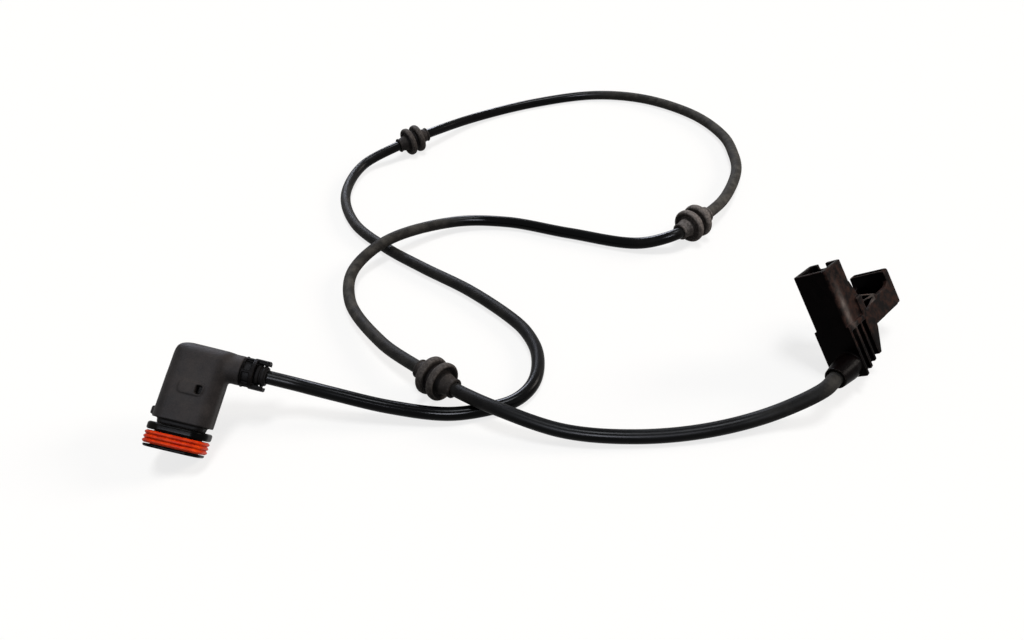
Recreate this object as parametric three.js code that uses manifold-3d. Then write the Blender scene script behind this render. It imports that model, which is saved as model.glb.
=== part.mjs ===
// Brake pad wear sensor lead: an elbow plug, one metre of two-core cable with three
// grommets, and a moulded sensor head. Millimetres, +Z up, lying on the plane z = 0.
import * as THREE from 'three';
import { mergeVertices } from 'three/addons/utils/BufferGeometryUtils.js';
import Module from 'manifold-3d';

const wasm = await Module();
wasm.setup();

// Fits shared by every joint between two pieces
const GAP = 0.3;
const OVERCUT = 1;
const ROUND_STEPS = 32;
const SMALL_STEPS = 20;

// Cable
const CABLE_DIAMETER = 4.8;
const CABLE_SIDES = 10;
const CABLE_STEPS = 74;
const CABLE_BEND_WEIGHT = 12;
const EXIT_LEAD = 9;

// Grommets
const GROMMET_FLANGE_DIAMETER = 14;
const GROMMET_LENGTH = 17.4;
const GROMMET_FLANGE_WIDTH = 3.4;
const GROMMET_GROOVE_WIDTH = 1.3;
const GROMMET_GROOVE_DEPTH = 2.7;
const GROMMET_LIP_WALL = 0.8;
const GROMMET_LEAD = 10.5;

// Elbow plug: the body hangs down from the crossing of its arm and mouth axes
const BODY_WIDTH = 19.1;
const BODY_DEPTH = 12.8;
const BODY_ROUND = 4.6;
const BODY_LENGTH = 21.4;
const PLUG_WALL_OVER_ARM = 0.2;
const ARM_DIAMETER = 10.2;
const ARM_LENGTH = 13.7;
const NECK_LENGTH = 1.3;
const NECK_INSET = 1.9;
const SPIGOT_INSET = 2.2;
const COLLAR_LENGTH = 2.9;
const COLLAR_OVERHANG = 0.45;
const SEAL_LENGTH = 4.1;
const SEAL_RIB_COUNT = 3;
const SEAL_RIB_HEIGHT = 0.55;
const RIM_LENGTH = 0.9;
const LUG_LENGTH = 2.8;
const LUG_HEIGHT = 1.1;
const LUG_WIDTH = 4.5;
const LUG_TO_BODY_END = 0.6;
const PAD_WIDTH = 8;
const PAD_LENGTH = 4;
const PAD_HEIGHT = 0.4;
const PAD_FROM_AXIS = 9.9;
const PAD_OFFSET = 0.75;
const PAD_SLOT_WIDTH = 1.6;
const PAD_SLOT_DEPTH = 1.1;
const PAD_SLOT_MARGIN = 1.2;
const CAVITY_WALL = 1.6;
const CAVITY_DEPTH = 9;
const CARRIER_RECESS = 0.8;
const CONTACT_PITCH = 6;
const CONTACT_DIAMETER = 2.2;
const CONTACT_WALL = 0.45;
const CONTACT_LENGTH = 6;
const CARRIER_KEY_WIDTH = 2;
const CARRIER_KEY_DEPTH = 0.9;

// Cable gland at the end of the arm
const CAP_DIAMETER = 10.7;
const CAP_WALL = 0.85;
const CAP_LENGTH = 4.2;
const CAP_END_THICKNESS = 1;
const CAP_HOLE_DIAMETER = 6.8;
const WINDOW_COUNT = 6;
const WINDOW_LENGTH = 2.3;
const WINDOW_WIDTH = 3.1;
const EAR_LENGTH = 3.8;
const EAR_WIDTH = 4.6;
const EAR_WALL = 1;
const GLAND_NECK_DIAMETER = 6.4;
const GLAND_RING_DIAMETER = 7.6;

// Sensor head: an open shroud on a ribbed foot, with a bracket behind it
const SHROUD_WIDTH = 11.1;
const SHROUD_DEPTH = 11.4;
const SHROUD_ROUND = 0.8;
const SHROUD_WALL = 1.3;
const SHROUD_CAVITY = 16;
const HEAD_HEIGHT = 37;
const FOOT_HEIGHT = 17.2;
const FOOT_STEP = 0.7;
const NOTCH_WIDTH = 2.9;
const NOTCH_DEPTH = 1.8;
const NOTCH_OFFSET = -0.7;
const RIB_COUNT = 4;
const RIB_WIDTH = 1;
const GROOVE_DEPTH = 1.5;
const GROOVE_TOP_LAND = 1.8;
const STAIR_RISE = 0.95;
const BRACKET_WIDTH = 12.6;
const BRACKET_BACK = 28.8;
const BRACKET_BOTTOM = 11.3;
const BRACKET_TOP = 24.4;
const BACK_PLATE_THICKNESS = 3;
const PLATE_ROUND = 1;
const BACK_SLOT_WIDTH = 1.3;
const BACK_SLOT_DEPTH = 6;
const CHEEK_WALL = 1.5;
const CHEEK_TOP = 19.3;
const CHEEK_CORNER = 2.4;
const TRAY_FLOOR = 1.5;
const SHOULDER_TOP = 29;
const SHOULDER_BACK = 7.4;
const GUSSET_TOP = 23.2;
const GUSSET_BACK = 15.6;
const GUSSET_TIP = 20.2;
const GUSSET_RIB = 0.8;
const GUSSET_FOOT = 17.9;
const RIB_TIP_ROUND = 0.45;
const TAPER_BACK = 10.2;
const TAPER_TOP = 10.4;
const TAPER_FOOT = 6.4;
const BOSS_LENGTH = 10.2;
const BOSS_BASE_DIAMETER = 8.6;
const BOSS_MOUTH_DIAMETER = 7;
const BOSS_OFFSET = 1.4;
const BOSS_HEIGHT = 4.6;
const BOSS_BORE_WALL = 0.55;
const BOSS_BORE_DEPTH = 7;
const BOSS_SEAL_RECESS = 1;
const BLADE_WIDTH = 2.8;
const BLADE_THICKNESS = 0.8;
const BLADE_LENGTH = 13;
const BLADE_PITCH = 4.4;
const BLADE_ROOT = 5;

// How the two ends lie on the table, as directions in the table's frame
const ELBOW_ARM_DIRECTION = new THREE.Vector3(0.9232, -0.1963, -0.3324);
const ELBOW_FACE_DIRECTION = new THREE.Vector3(0.153, -0.604, 0.782);
const ELBOW_PLACE = new THREE.Vector2(-109.70, 15.40);
const HEAD_RIGHT_DIRECTION = new THREE.Vector3(0.575, -0.554, 0.6);
const HEAD_UP_DIRECTION = new THREE.Vector3(-0.295, 0.544, 0.785);
const HEAD_PLACE = new THREE.Vector2(107.65, -11.95);

// Grommet centres and the way the cable runs through them
const GROMMET_PLACES = [
  { name: 'grommet_rear', centre: [-42.4, 188.8, 7], along: [0.86, 0.51, 0] },
  { name: 'grommet_side', centre: [77.3, 78.2, 7], along: [-0.817, -0.577, 0] },
  { name: 'grommet_front', centre: [-32.3, 7.7, 7.2], along: [0.694, -0.72, 0] },
];

// Route of the cable between its two ends; the grommets come in at the named breaks
const ROUTE_ELBOW_TO_REAR = [
  [-68.3, 4.9, 10],
  [-48.6, -1.3, 5.7],
  [-28.7, -5.9, 3.2],
  [-13.3, -5.1, 2.5],
  [-6.4, -3.3, 2.5],
  [-0.9, 1.2, 2.5],
  [2.4, 7.7, 2.5],
  [3.7, 18.9, 2.5],
  [1.1, 30.1, 2.5],
  [-3.3, 38.6, 2.5],
  [-18.8, 59.6, 2.5],
  [-37.6, 79.4, 2.5],
  [-55.0, 99.1, 2.5],
  [-70.4, 122.7, 2.5],
  [-76.5, 151.2, 2.6],
  [-68.6, 174.5, 4.2],
];
const ROUTE_REAR_TO_SIDE = [
  [-7.4, 212.5, 3.5],
  [26.6, 222.1, 2.5],
  [60.5, 221.4, 2.5],
  [85.6, 208.4, 2.5],
  [106.3, 181.8, 2.5],
  [114.1, 155.2, 2.5],
  [113.2, 136.3, 2.7],
  [109.3, 119.9, 3.3],
  [96.0, 95.6, 5.4],
];
const ROUTE_SIDE_TO_FRONT = [
  [53.8, 74.4, 3.4],
  [26.2, 90.1, 2.5],
  [0.2, 105.0, 2.8],
  [-23.5, 108.6, 4.4],
  [-52.4, 96.0, 8],
  [-67.0, 82.0, 5.2],
  [-67.8, 63.2, 3.6],
  [-53.2, 32.7, 5.4],
];
const ROUTE_FRONT_TO_HEAD = [
  [-12.6, -10.8, 8],
  [7.6, -21.0, 4.4],
  [29.3, -25.9, 2.6],
  [51.4, -27.8, 2.9],
  [72.5, -26.8, 5.2],
];

// Finishes
const matteGrey = new THREE.MeshStandardMaterial({ color: 0x3b3836, roughness: 0.62, metalness: 0 });
const glossBlack = new THREE.MeshStandardMaterial({ color: 0x0c0c0e, roughness: 0.25, metalness: 0 });
const orangeSilicone = new THREE.MeshStandardMaterial({ color: 0xe8420f, roughness: 0.42, metalness: 0 });
const carrierBlack = new THREE.MeshStandardMaterial({ color: 0x1a1a1c, roughness: 0.5, metalness: 0 });
const tinnedMetal = new THREE.MeshStandardMaterial({ color: 0xc4c2ba, roughness: 0.3, metalness: 1 });
const sheathBlack = new THREE.MeshStandardMaterial({ color: 0x111216, roughness: 0.35, metalness: 0 });
const grommetRubber = new THREE.MeshStandardMaterial({ color: 0x3a3632, roughness: 0.85, metalness: 0 });
const headNylon = new THREE.MeshStandardMaterial({ color: 0x17130f, roughness: 0.4, metalness: 0 });

// Solids and booleans

function toSolid(geometry) {
  const bare = geometry.clone();
  bare.deleteAttribute('normal');
  bare.deleteAttribute('uv');
  const merged = mergeVertices(bare, 1e-4);
  return new wasm.Manifold(new wasm.Mesh({
    numProp: 3,
    vertProperties: new Float32Array(merged.attributes.position.array),
    triVerts: new Uint32Array(merged.index.array),
  }));
}

function toGeometry(solid) {
  const mesh = solid.getMesh();
  const geometry = new THREE.BufferGeometry();
  geometry.setAttribute('position', new THREE.BufferAttribute(new Float32Array(mesh.vertProperties), 3));
  geometry.setIndex(new THREE.BufferAttribute(new Uint32Array(mesh.triVerts), 1));
  geometry.computeVertexNormals();
  return geometry;
}

function join(...geometries) {
  return toGeometry(geometries.map(toSolid).reduce((whole, next) => whole.add(next)));
}

function cut(body, ...tools) {
  return toGeometry(tools.map(toSolid).reduce((whole, next) => whole.subtract(next), toSolid(body)));
}

function common(...geometries) {
  return toGeometry(geometries.map(toSolid).reduce((whole, next) => whole.intersect(next)));
}

// Outlines

function roundedRectangle(width, height, radius) {
  const x = width / 2;
  const y = height / 2;
  const r = Math.min(radius, x - 0.01, y - 0.01);
  const outline = new THREE.Shape();
  outline.moveTo(x, -y + r);
  outline.lineTo(x, y - r);
  outline.absarc(x - r, y - r, r, 0, Math.PI / 2, false);
  outline.lineTo(-x + r, y);
  outline.absarc(-x + r, y - r, r, Math.PI / 2, Math.PI, false);
  outline.lineTo(-x, -y + r);
  outline.absarc(-x + r, -y + r, r, Math.PI, 1.5 * Math.PI, false);
  outline.lineTo(x - r, -y);
  outline.absarc(x - r, -y + r, r, 1.5 * Math.PI, 2 * Math.PI, false);
  return outline;
}

function polygon(points) {
  return new THREE.Shape(points.map(([x, y]) => new THREE.Vector2(x, y)));
}

function prism(outline, from, to, curveSegments = 6) {
  const geometry = new THREE.ExtrudeGeometry(outline, { depth: to - from, bevelEnabled: false, curveSegments });
  geometry.translate(0, 0, from);
  return geometry;
}

function block(x0, x1, y0, y1, z0, z1) {
  const geometry = new THREE.BoxGeometry(x1 - x0, y1 - y0, z1 - z0);
  geometry.translate((x0 + x1) / 2, (y0 + y1) / 2, (z0 + z1) / 2);
  return geometry;
}

// A profile of [radius, height] points turned about +Y
function turned(profile, steps = ROUND_STEPS) {
  return new THREE.LatheGeometry(profile.map(([r, h]) => new THREE.Vector2(r, h)), steps);
}

// A closed profile of [offset, height] points carried round a rounded rectangle
function ovalRing(width, depth, round, profile, perCorner = 8) {
  const stations = [];
  for (let corner = 0; corner < 4; corner += 1) {
    const signX = corner === 0 || corner === 3 ? 1 : -1;
    const signY = corner < 2 ? 1 : -1;
    for (let k = 0; k <= perCorner; k += 1) {
      const angle = (corner + k / perCorner) * Math.PI / 2;
      stations.push([signX * (width / 2 - round), signY * (depth / 2 - round), angle]);
    }
  }
  const positions = [];
  for (const [cx, cy, angle] of stations) {
    for (const [offset, height] of profile) {
      const reach = round + offset;
      positions.push(cx + reach * Math.cos(angle), cy + reach * Math.sin(angle), height);
    }
  }
  const index = [];
  const n = profile.length;
  for (let s = 0; s < stations.length; s += 1) {
    const here = s * n;
    const next = ((s + 1) % stations.length) * n;
    for (let p = 0; p < n; p += 1) {
      const q = (p + 1) % n;
      index.push(here + p, next + p, next + q, here + p, next + q, here + q);
    }
  }
  const geometry = new THREE.BufferGeometry();
  geometry.setAttribute('position', new THREE.Float32BufferAttribute(positions, 3));
  geometry.setIndex(index);
  geometry.computeVertexNormals();
  return geometry;
}

// Turns a piece built upwards along +Z so that it runs along the mouth axis, -Y
function alongMouth(geometry) {
  return geometry.rotateX(Math.PI / 2);
}

// Turns a piece turned about +Y so that it runs along the arm, +X
function alongArm(geometry) {
  return geometry.rotateZ(-Math.PI / 2);
}

function piece(name, geometry, material) {
  const mesh = new THREE.Mesh(geometry, material);
  mesh.name = name;
  return mesh;
}

// Elbow plug, in its own frame: +X along the arm, -Y towards the mouth, +Z out of the face

const spigotWidth = BODY_WIDTH - 2 * SPIGOT_INSET;
const spigotDepth = BODY_DEPTH - 2 * SPIGOT_INSET;
const spigotRound = Math.max(0.5, BODY_ROUND - SPIGOT_INSET);
const neckEnd = BODY_LENGTH + NECK_LENGTH;
const collarEnd = neckEnd + COLLAR_LENGTH;
const sealStart = collarEnd + GAP;
const sealEnd = sealStart + SEAL_LENGTH;
const rimStart = sealEnd + GAP;
const mouthEnd = rimStart + RIM_LENGTH;
const cavityWidth = spigotWidth - 2 * CAVITY_WALL;
const cavityDepth = spigotDepth - 2 * CAVITY_WALL;
const cavityFloor = mouthEnd - CAVITY_DEPTH;
const capStart = ARM_LENGTH + GAP;
const capEnd = capStart + CAP_LENGTH;
const spoutEnd = capEnd - CAP_END_THICKNESS - GAP;
const spoutRadius = CAP_DIAMETER / 2 - CAP_WALL - GAP;
const glandEnd = capEnd + EAR_LENGTH;

function elbowBody() {
  const armRadius = ARM_DIAMETER / 2;
  const top = armRadius + PLUG_WALL_OVER_ARM;
  const section = alongMouth(prism(
    roundedRectangle(BODY_WIDTH, BODY_DEPTH, BODY_ROUND), -top - OVERCUT, BODY_LENGTH));
  const left = -BODY_WIDTH / 2;
  const faceOutline = new THREE.Shape();
  faceOutline.moveTo(left - OVERCUT, -BODY_LENGTH - OVERCUT);
  faceOutline.lineTo(BODY_WIDTH / 2 + OVERCUT, -BODY_LENGTH - OVERCUT);
  faceOutline.lineTo(BODY_WIDTH / 2 + OVERCUT, top);
  faceOutline.lineTo(left + armRadius, top);
  faceOutline.absarc(left + armRadius, top - armRadius, armRadius, Math.PI / 2, Math.PI, false);
  faceOutline.lineTo(left, -BODY_LENGTH * 0.5);
  faceOutline.lineTo(left - OVERCUT, -BODY_LENGTH * 0.5);
  const face = prism(faceOutline, -BODY_DEPTH, BODY_DEPTH, 10);
  const side = new THREE.Shape();
  const half = BODY_DEPTH / 2;
  const crown = Math.min(armRadius, half - 0.05);
  side.moveTo(-half - OVERCUT, -BODY_LENGTH - OVERCUT);
  side.lineTo(half + OVERCUT, -BODY_LENGTH - OVERCUT);
  side.lineTo(half + OVERCUT, top - crown - OVERCUT);
  side.lineTo(half, top - crown);
  side.absarc(half - crown, top - crown, crown, 0, Math.PI / 2, false);
  side.absarc(-half + crown, top - crown, crown, Math.PI / 2, Math.PI, false);
  side.lineTo(-half - OVERCUT, top - crown - OVERCUT);
  const crowned = prism(side, -BODY_WIDTH, BODY_WIDTH, 8);
  crowned.rotateY(-Math.PI / 2);
  return common(section, face, crowned);
}

function elbowHousing() {
  const armRadius = ARM_DIAMETER / 2;
  const arm = alongArm(turned([
    [0, 0],
    [armRadius, 0],
    [armRadius, ARM_LENGTH],
    [spoutRadius, ARM_LENGTH],
    [spoutRadius, spoutEnd],
    [0, spoutEnd],
  ]));
  const neck = alongMouth(prism(roundedRectangle(
    BODY_WIDTH - 2 * NECK_INSET, BODY_DEPTH - 2 * NECK_INSET, BODY_ROUND - NECK_INSET), 0, neckEnd));
  const spigot = alongMouth(prism(roundedRectangle(spigotWidth, spigotDepth, spigotRound), 0, mouthEnd));
  const lugEnd = BODY_LENGTH - LUG_TO_BODY_END;
  const lug = block(-BODY_WIDTH / 2 - LUG_HEIGHT, -BODY_WIDTH / 2 + BODY_ROUND,
    -lugEnd, -lugEnd + LUG_LENGTH, -LUG_WIDTH / 2, LUG_WIDTH / 2);
  const pad = prism(roundedRectangle(PAD_WIDTH, PAD_LENGTH, 1.4), 0, BODY_DEPTH / 2 + PAD_HEIGHT);
  pad.translate(PAD_OFFSET, -PAD_FROM_AXIS, 0);
  const slot = prism(roundedRectangle(PAD_SLOT_WIDTH, PAD_LENGTH - PAD_SLOT_MARGIN, 0.5),
    BODY_DEPTH / 2 + PAD_HEIGHT - PAD_SLOT_DEPTH, BODY_DEPTH / 2 + PAD_HEIGHT + OVERCUT);
  slot.translate(PAD_OFFSET + PAD_WIDTH / 2 - PAD_SLOT_MARGIN / 2 - PAD_SLOT_WIDTH / 2, -PAD_FROM_AXIS, 0);
  const cavity = alongMouth(prism(
    roundedRectangle(cavityWidth, cavityDepth, 0.8), cavityFloor, mouthEnd + OVERCUT));
  return cut(join(elbowBody(), arm, neck, spigot, lug, pad), slot, cavity);
}

function mouthCollar() {
  const inner = -SPIGOT_INSET + GAP;
  const outer = COLLAR_OVERHANG;
  const low = neckEnd + GAP;
  return alongMouth(ovalRing(BODY_WIDTH, BODY_DEPTH, BODY_ROUND, [
    [inner, low],
    [outer - 0.5, low],
    [outer, low + 0.5],
    [outer, collarEnd - 0.5],
    [outer - 0.4, collarEnd],
    [inner, collarEnd],
  ]));
}

function mouthSeal() {
  const inner = -SPIGOT_INSET + GAP;
  const valley = COLLAR_OVERHANG - SEAL_RIB_HEIGHT;
  const pitch = SEAL_LENGTH / SEAL_RIB_COUNT;
  const profile = [[inner, sealStart], [valley, sealStart]];
  for (let rib = 0; rib < SEAL_RIB_COUNT; rib += 1) {
    const centre = sealStart + (rib + 0.5) * pitch;
    profile.push([valley, centre - pitch * 0.42]);
    profile.push([valley + SEAL_RIB_HEIGHT, centre - pitch * 0.18]);
    profile.push([valley + SEAL_RIB_HEIGHT, centre + pitch * 0.18]);
    profile.push([valley, centre + pitch * 0.42]);
  }
  profile.push([valley, sealEnd], [inner, sealEnd]);
  return alongMouth(ovalRing(BODY_WIDTH, BODY_DEPTH, BODY_ROUND, profile));
}

function mouthRim() {
  const inner = -SPIGOT_INSET + GAP;
  return alongMouth(ovalRing(BODY_WIDTH, BODY_DEPTH, BODY_ROUND, [
    [inner, rimStart],
    [-0.1, rimStart],
    [-0.1, mouthEnd - 0.4],
    [-0.5, mouthEnd],
    [inner, mouthEnd],
  ]));
}

function contactCarrier() {
  const face = mouthEnd - CARRIER_RECESS;
  const insert = alongMouth(prism(
    roundedRectangle(cavityWidth - 2 * GAP, cavityDepth - 2 * GAP, 0.6), cavityFloor + GAP, face));
  const bores = [-1, 1].map((side) => {
    const bore = new THREE.CylinderGeometry(
      CONTACT_DIAMETER / 2 + GAP, CONTACT_DIAMETER / 2 + GAP, CONTACT_LENGTH + 2 * GAP + OVERCUT, SMALL_STEPS);
    bore.translate(side * CONTACT_PITCH / 2, -face - OVERCUT + (CONTACT_LENGTH + 2 * GAP + OVERCUT) / 2, 0);
    return bore;
  });
  const key = block(-CARRIER_KEY_WIDTH / 2, CARRIER_KEY_WIDTH / 2, -face - OVERCUT, -face + 3,
    cavityDepth / 2 - GAP - CARRIER_KEY_DEPTH, cavityDepth);
  return cut(insert, ...bores, key);
}

function contactSocket(side) {
  const face = mouthEnd - CARRIER_RECESS;
  const outer = CONTACT_DIAMETER / 2;
  const inner = outer - CONTACT_WALL;
  const socket = turned([
    [0, 0],
    [outer, 0],
    [outer, CONTACT_LENGTH - 0.3],
    [outer - 0.2, CONTACT_LENGTH],
    [inner, CONTACT_LENGTH],
    [inner, 1.2],
    [0, 1.2],
  ], SMALL_STEPS);
  socket.rotateX(Math.PI);
  socket.translate(side * CONTACT_PITCH / 2, -face + CONTACT_LENGTH + GAP, 0);
  return socket;
}

function glandCap() {
  const outer = CAP_DIAMETER / 2;
  const inner = outer - CAP_WALL;
  const hole = CAP_HOLE_DIAMETER / 2;
  const shell = alongArm(turned([
    [hole, capEnd - CAP_END_THICKNESS],
    [inner, capEnd - CAP_END_THICKNESS],
    [inner, capStart],
    [outer, capStart],
    [outer, capEnd],
    [hole, capEnd],
    [hole, capEnd - CAP_END_THICKNESS],
  ]));
  const windows = [];
  for (let k = 0; k < WINDOW_COUNT; k += 1) {
    const angle = (k + 0.5) * 2 * Math.PI / WINDOW_COUNT;
    const opening = block(capStart + 0.5, capStart + 0.5 + WINDOW_LENGTH,
      -WINDOW_WIDTH / 2, WINDOW_WIDTH / 2, inner - 0.6, outer + OVERCUT);
    opening.rotateX(angle);
    windows.push(opening);
  }
  const tube = alongArm(turned([
    [outer - EAR_WALL, capEnd - CAP_END_THICKNESS / 2],
    [outer, capEnd - CAP_END_THICKNESS / 2],
    [outer, glandEnd],
    [outer - EAR_WALL, glandEnd],
    [outer - EAR_WALL, capEnd - CAP_END_THICKNESS / 2],
  ]));
  const band = block(capStart, glandEnd + OVERCUT, -outer - OVERCUT, outer + OVERCUT, -EAR_WIDTH / 2, EAR_WIDTH / 2);
  return join(cut(shell, ...windows), common(tube, band));
}

function glandSeal() {
  const stem = CAP_HOLE_DIAMETER / 2 - GAP;
  const ring = Math.min(GLAND_RING_DIAMETER / 2, CAP_DIAMETER / 2 - EAR_WALL - GAP);
  const neck = GLAND_NECK_DIAMETER / 2;
  const base = spoutEnd + GAP;
  const first = capEnd + GAP;
  return alongArm(turned([
    [0, base],
    [stem, base],
    [stem, first],
    [ring, first],
    [ring, first + 1.1],
    [neck, first + 1.2],
    [neck, first + 1.7],
    [ring - 0.2, first + 1.9],
    [ring - 0.2, first + 2.8],
    [neck, first + 3],
    [neck, glandEnd],
    [0, glandEnd],
  ], 28));
}

function elbowPlug() {
  const plug = new THREE.Group();
  plug.add(piece('elbow_housing', elbowHousing(), matteGrey));
  plug.add(piece('mouth_collar', mouthCollar(), glossBlack));
  plug.add(piece('mouth_seal', mouthSeal(), orangeSilicone));
  plug.add(piece('mouth_rim', mouthRim(), glossBlack));
  plug.add(piece('contact_carrier', contactCarrier(), carrierBlack));
  plug.add(piece('contact_socket_left', contactSocket(-1), tinnedMetal));
  plug.add(piece('contact_socket_right', contactSocket(1), tinnedMetal));
  plug.add(piece('cable_gland_cap', glandCap(), matteGrey));
  plug.add(piece('cable_gland_seal', glandSeal(), grommetRubber));
  return plug;
}

// Sensor head, in its own frame: +X right, +Y to the bracket, +Z up the shroud

const cavityX = SHROUD_WIDTH / 2 - SHROUD_WALL;
const cavityY = SHROUD_DEPTH / 2 - SHROUD_WALL;
const shroudFloor = HEAD_HEIGHT - SHROUD_CAVITY;

// A profile drawn in (Y, Z) and carried across X
function acrossWidth(points, x0, x1) {
  const geometry = prism(polygon(points), x0, x1);
  geometry.rotateX(Math.PI / 2);
  geometry.rotateZ(Math.PI / 2);
  return geometry;
}

function bladeSlot(side, clearance) {
  return block(side * BLADE_PITCH / 2 - BLADE_THICKNESS / 2 - clearance,
    side * BLADE_PITCH / 2 + BLADE_THICKNESS / 2 + clearance,
    -BLADE_WIDTH / 2 - clearance, BLADE_WIDTH / 2 + clearance,
    shroudFloor - BLADE_ROOT - clearance, shroudFloor - BLADE_ROOT + BLADE_LENGTH);
}

function ribbedFoot() {
  const front = -SHROUD_DEPTH / 2;
  const side = SHROUD_WIDTH / 2 + FOOT_STEP;
  const pitch = (SHROUD_DEPTH - RIB_WIDTH) / (RIB_COUNT - 1);
  const stairs = [[front, FOOT_HEIGHT], [front, 0]];
  for (let k = 1; k < RIB_COUNT; k += 1) {
    const y = front + k * pitch - (pitch - RIB_WIDTH) / 2;
    stairs.push([y, (k - 1) * STAIR_RISE], [y, k * STAIR_RISE]);
  }
  stairs.push([SHROUD_DEPTH / 2, (RIB_COUNT - 1) * STAIR_RISE], [SHROUD_DEPTH / 2, FOOT_HEIGHT]);
  const foot = acrossWidth(stairs, -side, side - GROOVE_DEPTH);
  const ribs = [];
  for (let k = 0; k < RIB_COUNT; k += 1) {
    const y0 = front + k * pitch;
    ribs.push(block(0, side, y0, y0 + RIB_WIDTH, k * STAIR_RISE + RIB_TIP_ROUND, FOOT_HEIGHT));
    ribs.push(block(0, side - RIB_TIP_ROUND, y0, y0 + RIB_WIDTH, k * STAIR_RISE, FOOT_HEIGHT));
  }
  ribs.push(block(0, side, front, SHROUD_DEPTH / 2, FOOT_HEIGHT - GROOVE_TOP_LAND, FOOT_HEIGHT));
  return join(foot, ...ribs);
}

// The truss on each cheek: three bars from the tip to the rear block, with two windows between them
function gussetWindows() {
  const y0 = SHOULDER_BACK + GUSSET_RIB;
  const middle = (GUSSET_TOP + GUSSET_FOOT) / 2;
  const half = GUSSET_RIB / 2;
  const tip = GUSSET_BACK - 3 * GUSSET_RIB;
  const upper = [[y0, middle + half], [tip, GUSSET_TIP + 0.1], [tip, GUSSET_TIP + 0.35], [y0, GUSSET_TOP - GUSSET_RIB]];
  const lower = [[y0, GUSSET_FOOT + GUSSET_RIB], [tip, GUSSET_TIP - GUSSET_RIB], [y0, middle - half]];
  return [upper, lower].map((points) => acrossWidth(points, -BRACKET_WIDTH, BRACKET_WIDTH));
}

function rearBracket() {
  const half = BRACKET_WIDTH / 2;
  const back = SHROUD_DEPTH / 2;
  const plateFront = BRACKET_BACK - BACK_PLATE_THICKNESS;
  const start = back - OVERCUT;
  const footEnd = (RIB_COUNT - 1) * STAIR_RISE;
  const shoulder = acrossWidth([
    [start, SHOULDER_TOP],
    [start, BRACKET_BOTTOM],
    [SHOULDER_BACK, BRACKET_BOTTOM],
    [SHOULDER_BACK, GUSSET_TOP],
    [back, SHOULDER_TOP],
  ], -SHROUD_WIDTH / 2, SHROUD_WIDTH / 2);
  const rearBlock = acrossWidth([
    [back - RIB_WIDTH, FOOT_HEIGHT],
    [back - RIB_WIDTH, footEnd],
    [TAPER_FOOT, footEnd],
    [TAPER_BACK, TAPER_TOP],
    [TAPER_BACK, BRACKET_BOTTOM + TRAY_FLOOR],
    [SHOULDER_BACK, FOOT_HEIGHT],
  ], -half, half);
  const cheekPoints = [
    [start, FOOT_HEIGHT],
    [start, BRACKET_BOTTOM],
    [plateFront + OVERCUT, BRACKET_BOTTOM],
    [plateFront + OVERCUT, CHEEK_TOP + CHEEK_CORNER],
    [plateFront - CHEEK_CORNER * 0.3, CHEEK_TOP + CHEEK_CORNER * 0.3],
    [plateFront - CHEEK_CORNER, CHEEK_TOP],
    [GUSSET_BACK + 0.5, CHEEK_TOP],
    [GUSSET_BACK, GUSSET_TIP],
    [SHOULDER_BACK, GUSSET_TOP],
    [start, GUSSET_TOP],
  ];
  const cheeks = [[half - CHEEK_WALL, half], [-half, -half + CHEEK_WALL]].map(
    ([x0, x1]) => cut(acrossWidth(cheekPoints, x0, x1), ...gussetWindows()));
  const floor = block(-half, half, SHOULDER_BACK, plateFront + OVERCUT, BRACKET_BOTTOM, BRACKET_BOTTOM + TRAY_FLOOR);
  const plate = prism(roundedRectangle(BRACKET_WIDTH, BRACKET_TOP - BRACKET_BOTTOM, PLATE_ROUND), 0, BACK_PLATE_THICKNESS, 4);
  plate.rotateX(Math.PI / 2);
  plate.translate(0, BRACKET_BACK, (BRACKET_TOP + BRACKET_BOTTOM) / 2);
  const slotWall = (BACK_PLATE_THICKNESS - BACK_SLOT_WIDTH) / 2;
  const slot = block(-half + CHEEK_WALL, half - CHEEK_WALL, plateFront + slotWall, BRACKET_BACK - slotWall,
    BRACKET_TOP - BACK_SLOT_DEPTH, BRACKET_TOP + OVERCUT);
  return join(shoulder, rearBlock, ...cheeks, floor, cut(plate, slot));
}

const bossMouth = -SHROUD_DEPTH / 2 - BOSS_LENGTH;
const bossBore = BOSS_MOUTH_DIAMETER / 2 - BOSS_BORE_WALL;

function alongBoss(geometry) {
  geometry.rotateX(Math.PI);
  return geometry.translate(BOSS_OFFSET, -SHROUD_DEPTH / 2, BOSS_HEIGHT);
}

function headHousing() {
  const shroud = prism(roundedRectangle(SHROUD_WIDTH, SHROUD_DEPTH, SHROUD_ROUND),
    FOOT_HEIGHT - OVERCUT, HEAD_HEIGHT, 4);
  const cavity = prism(roundedRectangle(2 * cavityX, 2 * cavityY, SHROUD_ROUND / 2),
    shroudFloor, HEAD_HEIGHT + OVERCUT, 3);
  const notch = block(NOTCH_OFFSET - NOTCH_WIDTH / 2, NOTCH_OFFSET + NOTCH_WIDTH / 2, cavityY - OVERCUT, SHROUD_DEPTH / 2 + OVERCUT,
    HEAD_HEIGHT - NOTCH_DEPTH, HEAD_HEIGHT + OVERCUT);
  const boss = alongBoss(turned([
    [0, -OVERCUT],
    [BOSS_BASE_DIAMETER / 2, -OVERCUT],
    [BOSS_BASE_DIAMETER / 2, BOSS_LENGTH * 0.3],
    [BOSS_MOUTH_DIAMETER / 2, BOSS_LENGTH],
    [0, BOSS_LENGTH],
  ], 28));
  const bore = alongBoss(turned([
    [0, BOSS_LENGTH - BOSS_BORE_DEPTH],
    [bossBore, BOSS_LENGTH - BOSS_BORE_DEPTH],
    [bossBore, BOSS_LENGTH + OVERCUT],
    [0, BOSS_LENGTH + OVERCUT],
  ], 28));
  return cut(join(shroud, ribbedFoot(), rearBracket(), boss),
    cavity, notch, bore, bladeSlot(-1, GAP), bladeSlot(1, GAP));
}

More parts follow.
